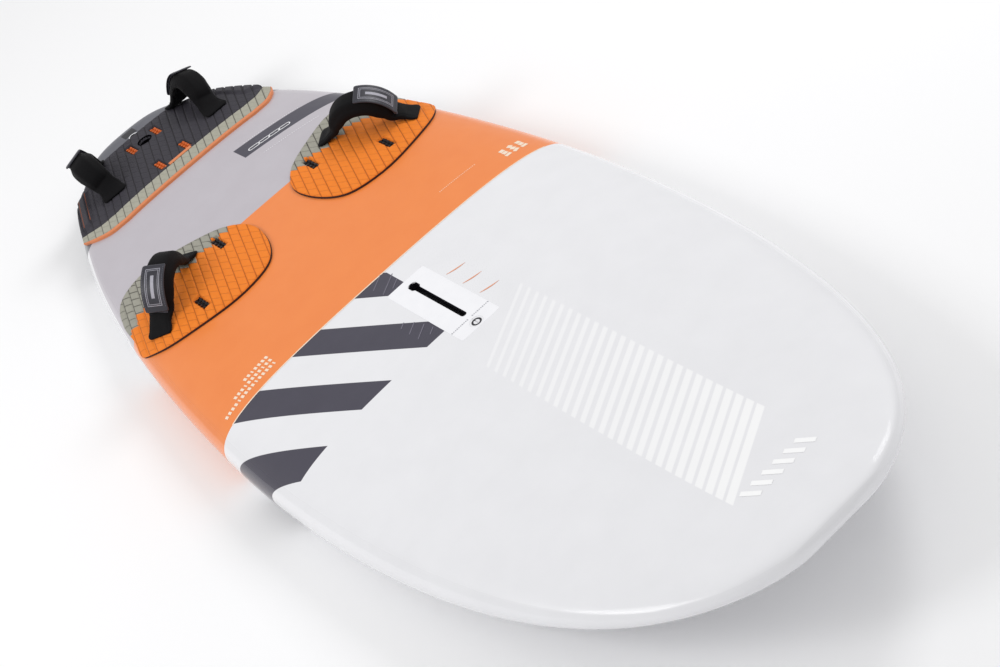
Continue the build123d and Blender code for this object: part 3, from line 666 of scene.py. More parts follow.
def felt_membrane(name):
    """Sintered membrane: white and porous."""
    made, tree, shader, place = start_material(name)
    cloud = add(tree, "TexNoise", place, Scale=1000 / 0.5, Detail=3.0)
    colour = add(tree, "Mix", cloud, linear("#D8D8D6"), linear("#F0F0EE"), data_type="RGBA")
    tree.links.new(colour, shader.inputs["Base Color"])
    shader.inputs["Roughness"].default_value = 0.95
    relief = add(tree, "Bump", Height=cloud, Distance=0.05e-3)
    tree.links.new(relief, shader.inputs["Normal"])
    return made


# The third colour is painted shade: in the housing's bore, and in the groove round the plug's head.
dress("vent_housing", vent_acetal("acetal_housing", "#E4E4E8", "#26242C", 0.0000, 0.0096))
dress("vent_screw", vent_acetal("acetal_plug", "#DEDEE2", "#26242C", 0.0058, 0.0100))
dress("vent_seal", moulded_rubber("nitrile_rubber"))
dress("vent_membrane", felt_membrane("sintered_membrane"))

# ------------------------------------------------------------------ fin box
# Nylon box let into the bottom, open below for the fin's tapered head. Two bolts go down through it
# from the deck; the aft one has a raised rim on the bare tail, coloured white as a painted highlight.
dress("fin_box", glass_nylon("grey_glass_nylon", "#1B1A20", "#2A2930"))
rim_turns, rim_profile = 64, 10
angles = np.arange(rim_turns) * 2 * math.pi / rim_turns
profile = np.linspace(0, math.pi, rim_profile)
radii = 0.0107 - 0.0017 * np.cos(profile)
rim_x = FIN_BOLTS[1] + np.cos(angles)[:, None] * radii
rim_y = np.sin(angles)[:, None] * radii
rim = on_deck(rim_x, rim_y, 0.0011 * np.sin(profile)[None, :] - 0.0001)
quads = []
for i in range(rim_turns):
    j = (i + 1) % rim_turns
    quads += [(i * rim_profile + k, j * rim_profile + k, j * rim_profile + k + 1, i * rim_profile + k + 1)
              for k in range(rim_profile - 1)]
# The rim's white is a painted highlight.
bolt_rim = make_piece("aft_bolt_rim_highlight", rim, [f[::-1] for f in quads], white_lacquer)
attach(bolt_rim, "board")

# Painted shade: a near-black film without specular reflection lines each bolt's sunk hole and, round the
# forward bolt, the wall of the pad's window.
sealant, tree, shader, place = start_material("painted_hole_shade")
smear = add(tree, "TexNoise", place, Scale=1000 / 3, Detail=3.0)
tree.links.new(add(tree, "Mix", smear, linear("#030304"), linear("#08080A"), data_type="RGBA"),
               shader.inputs["Base Color"])
shader.inputs["Roughness"].default_value = 0.9
shader.inputs["Specular IOR Level"].default_value = 0.0
relief = add(tree, "Bump", Height=smear, Distance=0.2e-3, Strength=0.5)
tree.links.new(relief, shader.inputs["Normal"])
# Radii and lifts of the painted shade film: down the hole, over its lip and up the window wall.
hole = [(0.0087, -0.0110), (0.0087, -0.0060), (0.0087, -0.0010), (0.0089, 0.0004), (0.0091, 0.0003)]
window_wall = [(0.0144, 0.0006), (0.0147, 0.0064), (0.0152, 0.0072), (0.0176, 0.0071)]
for word, x, smeared in (("forward", FIN_BOLTS[0], hole + window_wall), ("aft", FIN_BOLTS[1], hole)):
    radii, lifts = np.array(smeared).T
    rings = len(smeared)
    lip = on_deck(x + np.cos(angles)[:, None] * radii, np.sin(angles)[:, None] * radii, lifts[None, :])
    quads = [(i * rings + k, (i + 1) % rim_turns * rings + k, (i + 1) % rim_turns * rings + k + 1,
              i * rings + k + 1) for i in range(rim_turns) for k in range(rings - 1)]
    well = make_piece(f"{word}_bolt_hole_shade", lip, [f[::-1] for f in quads], sealant)
    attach(well, "board")

# ------------------------------------------------------------------ strap inserts
# Ribbed nylon strips with a row of screw holes, set into the deck. The spare ones stand in windows
# of the pads; those in use are under the footstraps.
SPARE_FRONT = [(-0.448, 0.120), (-0.331, 0.236)]
SPARE_REAR = [(-1.033, 0.034), (-0.881, 0.034)]
INSERT_LENGTH, INSERT_HALF_WIDTH, RIB_PITCH = 0.048, 0.0070, 0.0115


def insert_strips(name, centres, material, node):
    """Strips with four slanted ribs and a hole through each."""
    points, faces = [], []
    rows, columns = 97, 33
    u = np.linspace(-INSERT_LENGTH / 2, INSERT_LENGTH / 2, rows)[:, None]
    v = np.linspace(-1, 1, columns)[None, :]
    for cx, cy in centres:
        slanted = u - 0.0030 * v
        phase = np.abs((slanted / RIB_PITCH) % 1 - 0.5) * 2        # 0 on a rib, 1 in a gap
        ribs = 1 - np.clip((phase - 0.46) / 0.20, 0, 1)
        ribs = ribs * ribs * (3 - 2 * ribs)
        half = INSERT_HALF_WIDTH - 0.0022 * (1 - ribs)
        y = v * half
        edge = np.clip((np.abs(v) - 0.80) / 0.20, 0, 1)
        ends = np.clip((np.abs(u) - INSERT_LENGTH / 2 + 0.002) / 0.002, 0, 1)
        height = 0.0012 + 0.0030 * ribs - 0.0016 * edge**2 - 0.0014 * ends**2
        hole_x = (np.floor(slanted / RIB_PITCH) + 0.5) * RIB_PITCH
        hole = np.hypot(slanted - hole_x, y)
        height = np.where(hole < 0.0026, -0.0045, height)
        border = (np.abs(v) >= 1) | (np.abs(u) >= INSERT_LENGTH / 2)
        height = np.where(border, -0.0010, height)
        grid = on_deck(cx + u + 0 * v, cy + y, height)
        faces += [tuple(int(i) + len(points) for i in f) for f in grid_faces(rows, columns)]
        points += [tuple(p) for p in grid.reshape(-1, 3)]
    strips = make_piece(name, points, faces, material)
    strips.data.set_sharp_from_angle(angle=math.radians(55))
    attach(strips, "board")
    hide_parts(node)


black_nylon = glass_nylon("black_nylon", "#0E0D12", "#1A1920")
orange_nylon = glass_nylon("orange_nylon", "#C9560F", "#E4701C")
insert_strips("spare_front_strips", [(x, s * y) for x, y in SPARE_FRONT for s in (1, -1)],
              black_nylon, "spare_front_inserts")
insert_strips("spare_rear_strips", [(x, s * y) for x, y in SPARE_REAR for s in (1, -1)],
              orange_nylon, "spare_rear_inserts")
dress("front_strap_inserts", black_nylon)
dress("rear_strap_inserts", orange_nylon)

# ------------------------------------------------------------------ front deck pads
# EVA foam, 7 mm, heat pressed: long slanted grooves with staggered cuts between them break it into
# bricks, orange under the foot and grey at the heel. The lower ply is dark brown and shows at the edge.
PAD = 0.007
GROOVE_SLOPE, GROOVE_PITCH, GROOVE_PHASE = -0.35, 0.0203, 0.0138
CUT_SLOPE, CUT_PITCH = 0.60, 0.0224
EDGE_ROUND = 0.0024
BRICK_BORDER = -0.465
FRONT_PAD = [(-257, 165), (-276, 100), (-335, 64), (-420, 55), (-480, 88), (-532, 165), (-568, 245),
             (-563, 322), (-510, 350), (-440, 362), (-385, 374), (-318, 338), (-268, 240)]
WINDOW_HALF = (0.0262, 0.0092)


def smooth_loop(points, per_span=24):
    """Closed curve through points (centripetal Catmull-Rom)."""
    p = np.array(points, float)
    out = []
    n = len(p)
    for i in range(n):
        a, b, c, d = p[i - 1], p[i], p[(i + 1) % n], p[(i + 2) % n]
        out += catmull(a, b, c, d, per_span)
    return np.array(out)


def catmull(a, b, c, d, count):
    """Points along the span from b to c."""
    t0 = 0.0
    t1 = t0 + np.linalg.norm(b - a) ** 0.5
    t2 = t1 + np.linalg.norm(c - b) ** 0.5
    t3 = t2 + np.linalg.norm(d - c) ** 0.5
    span = []
    for k in range(count):
        t = t1 + (t2 - t1) * k / count
        ab = (t1 - t) / (t1 - t0) * a + (t - t0) / (t1 - t0) * b
        bc = (t2 - t) / (t2 - t1) * b + (t - t1) / (t2 - t1) * c
        cd = (t3 - t) / (t3 - t2) * c + (t - t2) / (t3 - t2) * d
        abc = (t2 - t) / (t2 - t0) * ab + (t - t0) / (t2 - t0) * bc
        bcd = (t3 - t) / (t3 - t1) * bc + (t - t1) / (t3 - t1) * cd
        span.append((t2 - t) / (t2 - t1) * abc + (t - t1) / (t2 - t1) * bcd)
    return span


def pad_cuts(x, y):
    """Depth share of the grooves and of the cross cuts, and the middle station of each brick."""
    c = (y - GROOVE_SLOPE * x - GROOVE_PHASE) / GROOVE_PITCH
    strip = np.round(c)
    groove = np.clip(1 - np.abs(c - strip) * GROOVE_PITCH / 0.0021, 0, 1)
    e = (y - CUT_SLOPE * x) / CUT_PITCH + 0.5 * (np.floor(c) % 2)
    cut = np.clip(1 - np.abs(e - np.round(e)) * CUT_PITCH / 0.0019, 0, 1)
    c_mid = (np.floor(c) + 0.5) * GROOVE_PITCH + GROOVE_PHASE
    e_mid = (np.floor(e) + 0.5 - 0.5 * (np.floor(c) % 2)) * CUT_PITCH
    brick_x = (c_mid - e_mid) / (CUT_SLOPE - GROOVE_SLOPE)
    return groove, cut, brick_x


def edge_distance(x, y, loop):
    """Distance from each point to a closed outline."""
    flat = np.stack([x.ravel(), y.ravel()], -1)
    best = np.full(len(flat), 1.0)
    starts, ends = loop, np.roll(loop, -1, 0)
    for start, end in zip(starts, ends):
        leg = end - start
        t = np.clip(((flat - start) @ leg) / max(leg @ leg, 1e-12), 0, 1)
        best = np.minimum(best, np.hypot(*(flat - start - t[:, None] * leg).T))
    return best.reshape(x.shape)


def eva_cuts(tree, place):
    """The same grooves and cross cuts, drawn sharp: the mask of each."""
    x, y, _ = add(tree, "SeparateXYZ", place).node.outputs
    c = add(tree, "Math", y, add(tree, "Math", x, GROOVE_SLOPE, operation="MULTIPLY"), operation="SUBTRACT")
    c = add(tree, "Math", c, GROOVE_PHASE, operation="SUBTRACT")
    c = add(tree, "Math", c, GROOVE_PITCH, operation="DIVIDE")
    row = add(tree, "Math", c, operation="FLOOR")
    odd = add(tree, "Math", row, 2.0, operation="FLOORED_MODULO")
    stagger = add(tree, "Math", odd, 0.5, operation="MULTIPLY")
    e = add(tree, "Math", y, add(tree, "Math", x, CUT_SLOPE, operation="MULTIPLY"), operation="SUBTRACT")
    e = add(tree, "Math", add(tree, "Math", e, CUT_PITCH, operation="DIVIDE"), stagger, operation="ADD")
    masks = []
    for line, pitch, inner, outer in ((c, GROOVE_PITCH, 0.0003, 0.0015), (e, CUT_PITCH, 0.0001, 0.0011)):
        nearest = add(tree, "Math", line, operation="ROUND")
        off = add(tree, "Math", line, nearest, operation="SUBTRACT")
        off = add(tree, "Math", off, operation="ABSOLUTE")
        off = add(tree, "Math", off, pitch, operation="MULTIPLY")
        masks.append(add(tree, "MapRange", off, inner, outer, 1.0, 0.0))
    return masks


def eva_foam(name, dark, light, groove_colour, groove_share, cut_share):
    """Cross-linked EVA: matt and slightly furry, with closed cells; painted shade darkens its grooves and
    cross cuts.
    """
    made, tree, shader, place = start_material(name)
    mottle = add(tree, "TexNoise", place, Scale=1000 / 9, Detail=4.0)
    colour = add(tree, "Mix", mottle, linear(dark), linear(light), data_type="RGBA")
    groove, cut = eva_cuts(tree, place)
    # Painted shade: the grooves and cross cuts are mixed towards the shade colour.
    for mask, share in ((cut, cut_share), (groove, groove_share)):
        pressed = add(tree, "Math", mask, share, operation="MULTIPLY")
        colour = add(tree, "Mix", pressed, colour, linear(groove_colour), data_type="RGBA")
    tree.links.new(colour, shader.inputs["Base Color"])
    rough = add(tree, "MapRange", mottle, To_Min=0.66, To_Max=0.86)
    tree.links.new(rough, shader.inputs["Roughness"])
    shader.inputs["Specular IOR Level"].default_value = 0.35
    cells = add(tree, "TexNoise", place, Scale=1000 / 0.9, Detail=2.0)
    sunk = add(tree, "Math", add(tree, "Math", groove, cut, operation="MAXIMUM"), 6.0, operation="MULTIPLY")
    relief = add(tree, "Math", cells, sunk, operation="SUBTRACT")
    relief = add(tree, "Bump", Height=relief, Distance=0.12e-3, Strength=0.7)
    tree.links.new(relief, shader.inputs["Normal"])
    return made


def lower_ply(name, dark, light):
    """Firm lower ply of the pad, cut with a hot knife: dark, with a dull skin."""
    made, tree, shader, place = start_material(name)
    tree.links.new(add(tree, "Mix", add(tree, "TexNoise", place, Scale=1000 / 4, Detail=3.0), linear(dark),
                       linear(light), data_type="RGBA"), shader.inputs["Base Color"])
    shader.inputs["Roughness"].default_value = 0.8
    fine = add(tree, "TexNoise", place, Scale=1000 / 0.8, Detail=3.0)
    relief = add(tree, "Bump", Height=fine, Distance=0.08e-3)
    tree.links.new(relief, shader.inputs["Normal"])
    return made


def side_wall(loop, tops, feet_lift=-0.0006, flare=0.0009):
    """Points of a wall from the top ring down to the deck, flaring a little outward."""
    loop = np.asarray(loop)
    ahead, behind = np.roll(loop, -1, 0), np.roll(loop, 1, 0)
    tangent = ahead - behind
    outward = np.stack([tangent[:, 1], -tangent[:, 0]], -1)
    outward /= np.maximum(np.linalg.norm(outward, axis=1, keepdims=True), 1e-9)
    area = np.sum(loop[:, 0] * ahead[:, 1] - ahead[:, 0] * loop[:, 1])
    outward *= 1 if area > 0 else -1
    rings = [on_deck(loop[:, 0], loop[:, 1], tops)]
    for share in (0.35, 1.0):
        spot = loop + outward * flare * share
        rings.append(on_deck(spot[:, 0], spot[:, 1], tops * (1 - share) + feet_lift * share))
    return rings


brown_ply = lower_ply("brown_lower_ply", "#2C1410", "#3D1C14")
# The fourth colour of each foam is the painted shade laid in its grooves and cross cuts.
orange_eva = eva_foam("orange_eva", "#EC7C1C", "#F58828", "#A0521A", 0.70, 0.42)
grey_eva = eva_foam("grey_eva", "#959388", "#A6A498", "#3E3C39", 0.85, 0.80)
band_eva = eva_foam("grey_band_eva", "#A09E90", "#B0AE9F", "#4E4B45", 0.85, 0.22)


def front_pad(side, word):
    """One pad as two pieces, orange and heel, that meet along the brick cuts."""
    loop = smooth_loop(FRONT_PAD) / 1000 * np.array([1, side])
    lowest, highest = np.argmin(loop[:, 0]), np.argmax(loop[:, 0])
    ring = np.roll(loop, -lowest, 0)
    turn_at = (highest - lowest) % len(loop)
    one = ring[:turn_at + 1]
    two = np.concatenate([ring[turn_at:], ring[:1]])[::-1]
    x_turn = np.linspace(0, math.pi, 216)
    span = loop[:, 0].max() - loop[:, 0].min()
    shares = 0.12 * (1 - np.cos(x_turn)) / 2 + 0.88 * x_turn / math.pi
    x = loop[:, 0].min() + span * shares
    y_one, y_two = np.interp(x, one[:, 0], one[:, 1]), np.interp(x, two[:, 0], two[:, 1])
    v_turn = np.linspace(0, math.pi, 180)
    v = 0.10 * (1 - np.cos(v_turn)) / 2 + 0.90 * v_turn / math.pi
    gx = np.repeat(x[:, None], len(v), 1)
    gy = y_one[:, None] * (1 - v) + y_two[:, None] * v
    if y_two.mean() < y_one.mean():
        gy = gy[:, ::-1]
    groove, cut, brick_x = pad_cuts(gx, gy)
    inside = edge_distance(gx, gy, loop)
    near = np.clip(1 - inside / EDGE_ROUND, 0, 1)
    drop = EDGE_ROUND * (1 - np.sqrt(1 - near**2))
    cross = np.where(brick_x < BRICK_BORDER, 0.75, 0.30) * cut
    relief = 0.0019 * np.maximum(groove, cross) * np.clip(inside / 0.002, 0, 1)
    puff = 0.0004 * np.sin(np.clip(inside / 0.02, 0, 1) * math.pi / 2)
    lift = PAD - 0.0003 - relief - drop + puff
    window = np.zeros_like(gx)
    for cx, cy in SPARE_FRONT:
        depth = np.minimum(WINDOW_HALF[0] - np.abs(gx - cx), WINDOW_HALF[1] - np.abs(gy - side * cy))
        window = np.maximum(window, np.clip(depth / 0.0012, 0, 1))
    lift = lift * (1 - window) - 0.0005 * window
    points = on_deck(gx, gy, lift).reshape(-1, 3)
    quads = grid_faces(len(x), len(v))
    open_window = window.ravel()[quads].min(1) > 0.99
    quads = quads[~open_window]
    heel = brick_x.ravel()[quads].mean(1) < BRICK_BORDER
    chain = np.concatenate([np.arange(len(v)), np.arange(1, len(x)) * len(v) + len(v) - 1,
                            (len(x) - 1) * len(v) + np.arange(len(v) - 2, -1, -1),
                            np.arange(len(x) - 2, 0, -1) * len(v)])
    border = np.stack([gx.ravel(), gy.ravel()], -1)[chain]
    keep = np.linalg.norm(border - np.roll(border, 1, 0), axis=1) > 1e-5
    chain, border = chain[keep], border[keep]
    walls = side_wall(border, lift.ravel()[chain])
    for heel_part, part, material in ((False, "", orange_eva), (True, "_heel", grey_eva)):
        wall_points = np.concatenate([points] + walls)
        own = [tuple(f) for f in quads[heel == heel_part]]
        n, base = len(chain), len(points)
        top_count = len(own)
        for i in range(n):
            j = (i + 1) % n
            if (brick_x.ravel()[chain[i]] < BRICK_BORDER) != heel_part:
                continue
            for k in range(2):
                a, b = base + k * n, base + (k + 1) * n
                own.append((a + j, a + i, b + i, b + j))
        used = sorted({i for f in own for i in f})
        renumber = {old: new for new, old in enumerate(used)}
        node = f"front_pad{part}_{word}"
        piece = make_piece(f"{node}_foam", wall_points[used],
                           [tuple(renumber[i] for i in f) for f in own], material)
        piece.data.materials.append(brown_ply)
        for polygon in piece.data.polygons[top_count:]:
            polygon.material_index = 1
        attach(piece, "board")
        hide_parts(node)


front_pad(1, "port")
front_pad(-1, "starboard")

# ------------------------------------------------------------------ tail pad
# The same foam in three bonded strips across the tail: an orange trim at the front, a grey band and
# the black main pad, with raised ribbed bars outboard of the straps and orange showing in their cuts.
REAR_PAD_AFT, REAR_PAD_FORE, AFT_CORNER_Y = -1.088, -0.788, 0.095
TRIM_WIDTH, BAND_WIDTH = 0.010, 0.047
KICK = 0.006
KICK_INNER, KICK_OUTER = 0.80, 0.92
BOLT_WINDOW = 0.0148

rail_x = np.array([-1.040, -0.985, -0.930, -0.880])
rail_points = [(REAR_PAD_AFT, AFT_CORNER_Y)] + [(x, 0.95 * float(outline(x))) for x in rail_x]
front_points = [rail_points[-1], (-0.838, 0.246), (-0.800, 0.215), (REAR_PAD_FORE, 0.175)]


def open_curve(points, per_span=24):
    """Open curve through points."""
    p = [np.array(q, float) for q in points]
    p = [2 * p[0] - p[1]] + p + [2 * p[-1] - p[-2]]
    out = []
    for a, b, c, d in zip(p, p[1:], p[2:], p[3:]):
        out += catmull(a, b, c, d, per_span)
    return np.array(out + [p[-2]])


aft_side = open_curve(rail_points)
front_side = open_curve(front_points)
pad_half = rail_points[-1][1]


def pad_front(y):
    """Station of the pad's front edge at distance y from the middle."""
    order = front_side[:, 1].argsort()
    return np.interp(np.abs(y), front_side[order, 1], front_side[order, 0], left=REAR_PAD_FORE)


def pad_aft(y):
    """Station of the pad's aft edge at distance y from the middle."""
    return np.interp(np.abs(y), aft_side[:, 1], aft_side[:, 0], left=REAR_PAD_AFT)


def smooth_step(value, low, high):
    t = np.clip((value - low) / (high - low), 0, 1)
    return t * t * (3 - 2 * t)


def tail_strip(name, front_shift, aft_shift, rows, columns, material, node_names, cut_depth):
    """One strip of the tail pad, from its front edge to its aft edge, either side of the middle."""
    y_all = np.linspace(0, pad_half, 4000)
    front_all = pad_front(y_all) - front_shift
    aft_all = pad_aft(y_all)
    if aft_shift is not None:
        aft_all = np.maximum(aft_all, pad_front(y_all) - aft_shift)
    reach = y_all[np.nonzero(front_all - aft_all > 0.0004)[0][-1]]
    bend = np.linspace(0, math.pi, rows)
    y = reach * (-0.18 * np.cos(bend) + 0.82 * (2 * bend / math.pi - 1))
    y = np.sort(np.concatenate([y, [-AFT_CORNER_Y, AFT_CORNER_Y]]))
    fore, aft = np.interp(np.abs(y), y_all, front_all), np.interp(np.abs(y), y_all, aft_all)
    bend = np.linspace(0, math.pi, columns)
    v = 0.10 * (1 - np.cos(bend)) / 2 + 0.90 * bend / math.pi
    gy = np.repeat(y[:, None], columns, 1)
    gx = fore[:, None] * (1 - v) + aft[:, None] * v
    chain = np.concatenate([np.arange(columns), np.arange(1, len(y)) * columns + columns - 1,
                            (len(y) - 1) * columns + np.arange(columns - 2, -1, -1),
                            np.arange(len(y) - 2, 0, -1) * columns])
    border = np.stack([gx.ravel(), gy.ravel()], -1)[chain]
    inside = edge_distance(gx, gy, border[::3])
    share = np.abs(gy) / outline(gx)
    kick = smooth_step(share, KICK_INNER - 0.025, KICK_INNER + 0.01)
    kick = kick * (1 - smooth_step(share, KICK_OUTER, KICK_OUTER + 0.025))
    kick = kick * smooth_step(gx, -1.042, -1.026) * (1 - smooth_step(gx, -0.909, -0.893))
    groove, cut, _ = pad_cuts(gx, gy)
    if not cut_depth:
        groove, cut, kick = groove * 0, cut * 0, kick * 0
    cuts = np.maximum(groove, 0.35 * cut * (1 - kick))
    relief = (cut_depth + 0.0026 * kick) * cuts * np.clip(inside / 0.002, 0, 1)
    near = np.clip(1 - inside / 0.0018, 0, 1)
    lift = PAD - 0.0003 - relief - 0.0018 * (1 - np.sqrt(1 - near**2)) + KICK * kick
    window = np.zeros_like(gx)
    for cx, cy in [(x, s * y) for x, y in SPARE_REAR for s in (1, -1)]:
        depth = np.minimum(WINDOW_HALF[0] - np.abs(gx - cx), WINDOW_HALF[1] - np.abs(gy - cy))
        window = np.maximum(window, np.clip(depth / 0.0012, 0, 1))
    depth = BOLT_WINDOW - np.hypot(gx - FIN_BOLTS[0], gy)
    window = np.maximum(window, np.clip(depth / 0.0012, 0, 1))
    lift = lift * (1 - window) - 0.0005 * window
    points = on_deck(gx, gy, lift).reshape(-1, 3)
    quads = grid_faces(len(y), columns)
    quads = quads[window.ravel()[quads].min(1) < 0.99]
    keep = np.linalg.norm(border - np.roll(border, 1, 0), axis=1) > 1e-5
    chain, border = chain[keep], border[keep]
    walls = side_wall(border, lift.ravel()[chain], flare=0.0005)
    own = [tuple(f) for f in quads]
    n, base, top_count = len(chain), len(points), len(quads)
    for k in range(2):
        a, b = base + k * n, base + (k + 1) * n
        own += [(a + i, a + (i + 1) % n, b + (i + 1) % n, b + i) for i in range(n)]
    piece = make_piece(name, np.concatenate([points] + walls), own, material)
    mark = piece.data.attributes.new("kick", "FLOAT", "POINT")
    mark.data.foreach_set("value", np.concatenate([kick.ravel(), np.zeros(3 * n)]).astype(np.float32))
    if cut_depth:
        piece.data.materials.append(dark_ply)
        for polygon in piece.data.polygons[top_count:]:
            polygon.material_index = 1
    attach(piece, "board")
    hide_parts(*node_names)


def black_eva():
    """Black EVA of the main pad: the raised bars show orange deep in their cuts, and the aft
    starboard part is pressed with a fine diamond grip."""
    made, tree, shader, place = start_material("black_eva")
    mottle = add(tree, "TexNoise", place, Scale=1000 / 9, Detail=4.0)
    colour = add(tree, "Mix", mottle, linear("#2C2A31"), linear("#3A3740"), data_type="RGBA")
    groove, cut = eva_cuts(tree, place)
    x, y, _ = add(tree, "SeparateXYZ", place).node.outputs
    raised = add(tree, "Attribute", attribute_name="kick").node.outputs["Fac"]
    on_kick = add(tree, "MapRange", raised)
    # Painted shade darkens the cross cuts lightly and the grooves strongly.
    for mask, share, shade in ((cut, 0.25, "#201D22"), (groove, 0.9, "#171418")):
        pressed = add(tree, "Math", mask, share, operation="MULTIPLY")
        colour = add(tree, "Mix", pressed, colour, linear(shade), data_type="RGBA")
    deep = add(tree, "Math", groove, on_kick, operation="MULTIPLY")
    crest = add(tree, "Math", raised, 0.9, operation="GREATER_THAN")
    starboard = add(tree, "MapRange", y, -0.0003, 0.0003, 1.0, 0.0)
    for limit in (crest, starboard):
        deep = add(tree, "Math", deep, limit, operation="MULTIPLY")
    colour = add(tree, "Mix", deep, colour, linear("#8A431C"), data_type="RGBA")
    tree.links.new(colour, shader.inputs["Base Color"])
    rough = add(tree, "MapRange", mottle, To_Min=0.60, To_Max=0.80)
    tree.links.new(rough, shader.inputs["Roughness"])
    shader.inputs["Specular IOR Level"].default_value = 0.4
    ridges = []
    for operation in ("ADD", "SUBTRACT"):
        diagonal = add(tree, "Math", x, y, operation=operation)
        diagonal = add(tree, "Math", diagonal, 2 * math.pi / 0.0075, operation="MULTIPLY")
        ridges.append(add(tree, "Math", diagonal, operation="SINE"))
    grip = add(tree, "Math", *ridges, operation="MAXIMUM")
    outboard = add(tree, "MapRange", y, -0.054, -0.046, 1.0, 0.0)
    aft = add(tree, "MapRange", x, -0.929, -0.921, 1.0, 0.0)
    for limit in (outboard, aft):
        grip = add(tree, "Math", grip, limit, operation="MULTIPLY")
    cells = add(tree, "TexNoise", place, Scale=1000 / 0.9, Detail=2.0)
    sunk = add(tree, "Math", add(tree, "Math", groove, cut, operation="MAXIMUM"), 6.0, operation="MULTIPLY")
    grip = add(tree, "Math", grip, 4.0, operation="MULTIPLY")
    relief = add(tree, "Math", add(tree, "Math", cells, grip, operation="ADD"), sunk, operation="SUBTRACT")
    relief = add(tree, "Bump", Height=relief, Distance=0.12e-3, Strength=0.7)
    tree.links.new(relief, shader.inputs["Normal"])
    return made


def trim_eva():
    """Orange EVA of the trim strip, buffed smooth."""
    made, tree, shader, place = start_material("trim_eva")
    mottle = add(tree, "TexNoise", place, Scale=1000 / 7, Detail=3.0)
    colour = add(tree, "Mix", mottle, linear("#D67C4A"), linear("#E28D5E"), data_type="RGBA")
    tree.links.new(colour, shader.inputs["Base Color"])
    rough = add(tree, "MapRange", mottle, To_Min=0.55, To_Max=0.72)
    tree.links.new(rough, shader.inputs["Roughness"])
    fine = add(tree, "TexNoise", place, Scale=1000 / 0.9, Detail=3.0)
    relief = add(tree, "Bump", Height=fine, Distance=0.1e-3, Strength=0.6)
    tree.links.new(relief, shader.inputs["Normal"])
    return made


dark_ply = lower_ply("dark_lower_ply", "#1A181D", "#26232A")
trim_foam = trim_eva()
tail_strip("rear_pad_trim_strip", 0.0, TRIM_WIDTH, 320, 10, trim_foam, ["rear_pad_trim"], 0)
tail_strip("rear_pad_band_strip", TRIM_WIDTH, TRIM_WIDTH + BAND_WIDTH, 340, 38, band_eva,
           ["rear_pad_band"], 0.0017)
tail_strip("rear_pad_main", TRIM_WIDTH + BAND_WIDTH, None, 330, 170, black_eva(),
           ["rear_pad", "rear_pad_kicks"], 0.0019)

# A peach inlay bar joins the two forward inserts along the edge of the band.
rows, columns = 60, 12
v, u = np.meshgrid(np.linspace(0, 1, rows), np.linspace(0, 1, columns), indexing="ij")
inlay_x = -0.8560 + 0.0105 * u
inlay_y = -0.0240 + 0.0600 * v
rim = np.minimum(np.minimum(u * 0.0105, (1 - u) * 0.0105), np.minimum(v * 0.060, (1 - v) * 0.060))
crown = PAD + 0.0007 - 0.0012 * (1 - np.sqrt(1 - np.clip(1 - rim / 0.0012, 0, 1) ** 2))
inlay = make_piece("rear_pad_inlay", on_deck(inlay_x, inlay_y, crown),
                   [f[::-1] for f in grid_faces(rows, columns)], trim_foam)
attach(inlay, "board")

# ------------------------------------------------------------------ footstraps
# Polyester webbing in a padded neoprene sleeve. Its ends flare into flat feet, screwed down through
# washers under the sleeve. A hook-and-loop flap over the outer half closes the size adjustment.
FRONT_FEET = ((-0.479, 0.190), (-0.368, 0.312))
REAR_FEET = ((-0.926, 0.138), (-1.066, 0.116))
AXIS_ABOVE_PAD = 0.006
ARCH_POWER = 2 / 2.15
FOOT_INSET = 0.010
SLEEVE = 0.016
PADDING = 0.0215
EDGE_CURL = 0.0125
FRONT_HEIGHT, FRONT_LEAN = 0.078, 8          # top of the sleeve above the feet, and degrees outboard
REAR_HEIGHT, REAR_LEAN = 0.076, 20
FLAP_FROM, FLAP_TO = 93.5, 163.5             # degrees round the arch
FLAP_LEVEL = 0.0192                          # above the arch's inner line, clear of the webbing
LOOP_WIDTH, LOOP_THICKNESS = 0.040, 0.0013
SLEEVE_STATIONS, SLEEVE_RING = 132, 56


def neoprene(name, dark, light):
    """Nylon-faced neoprene: fine knit, soft, with a faint grey sheen and lint."""
    made, tree, shader, place = start_material(name)
    cloud = add(tree, "TexNoise", place, Scale=1000 / 14, Detail=3.0)
    colour = add(tree, "Mix", cloud, linear(dark), linear(light), data_type="RGBA")
    tree.links.new(colour, shader.inputs["Base Color"])
    rough = add(tree, "MapRange", cloud, To_Min=0.62, To_Max=0.80)
    tree.links.new(rough, shader.inputs["Roughness"])
    shader.inputs["Sheen Weight"].default_value = 0.02
    shader.inputs["Sheen Roughness"].default_value = 0.5
    shader.inputs["Specular IOR Level"].default_value = 0.14
    x, y, z = add(tree, "SeparateXYZ", place).node.outputs
    stitch = 2 * math.pi / 0.0014
    rows = add(tree, "Math", add(tree, "Math", z, stitch, operation="MULTIPLY"), operation="SINE")
    wales = add(tree, "Math", add(tree, "Math", x, y, operation="ADD"), stitch, operation="MULTIPLY")
    wales = add(tree, "Math", wales, operation="SINE")
    lint = add(tree, "TexNoise", place, Scale=1000 / 3, Detail=3.0)
    knit = add(tree, "Math", add(tree, "Math", rows, wales, operation="MULTIPLY"), lint, operation="ADD")
    relief = add(tree, "Bump", Height=knit, Distance=0.10e-3, Strength=0.6)
    tree.links.new(relief, shader.inputs["Normal"])
    return made


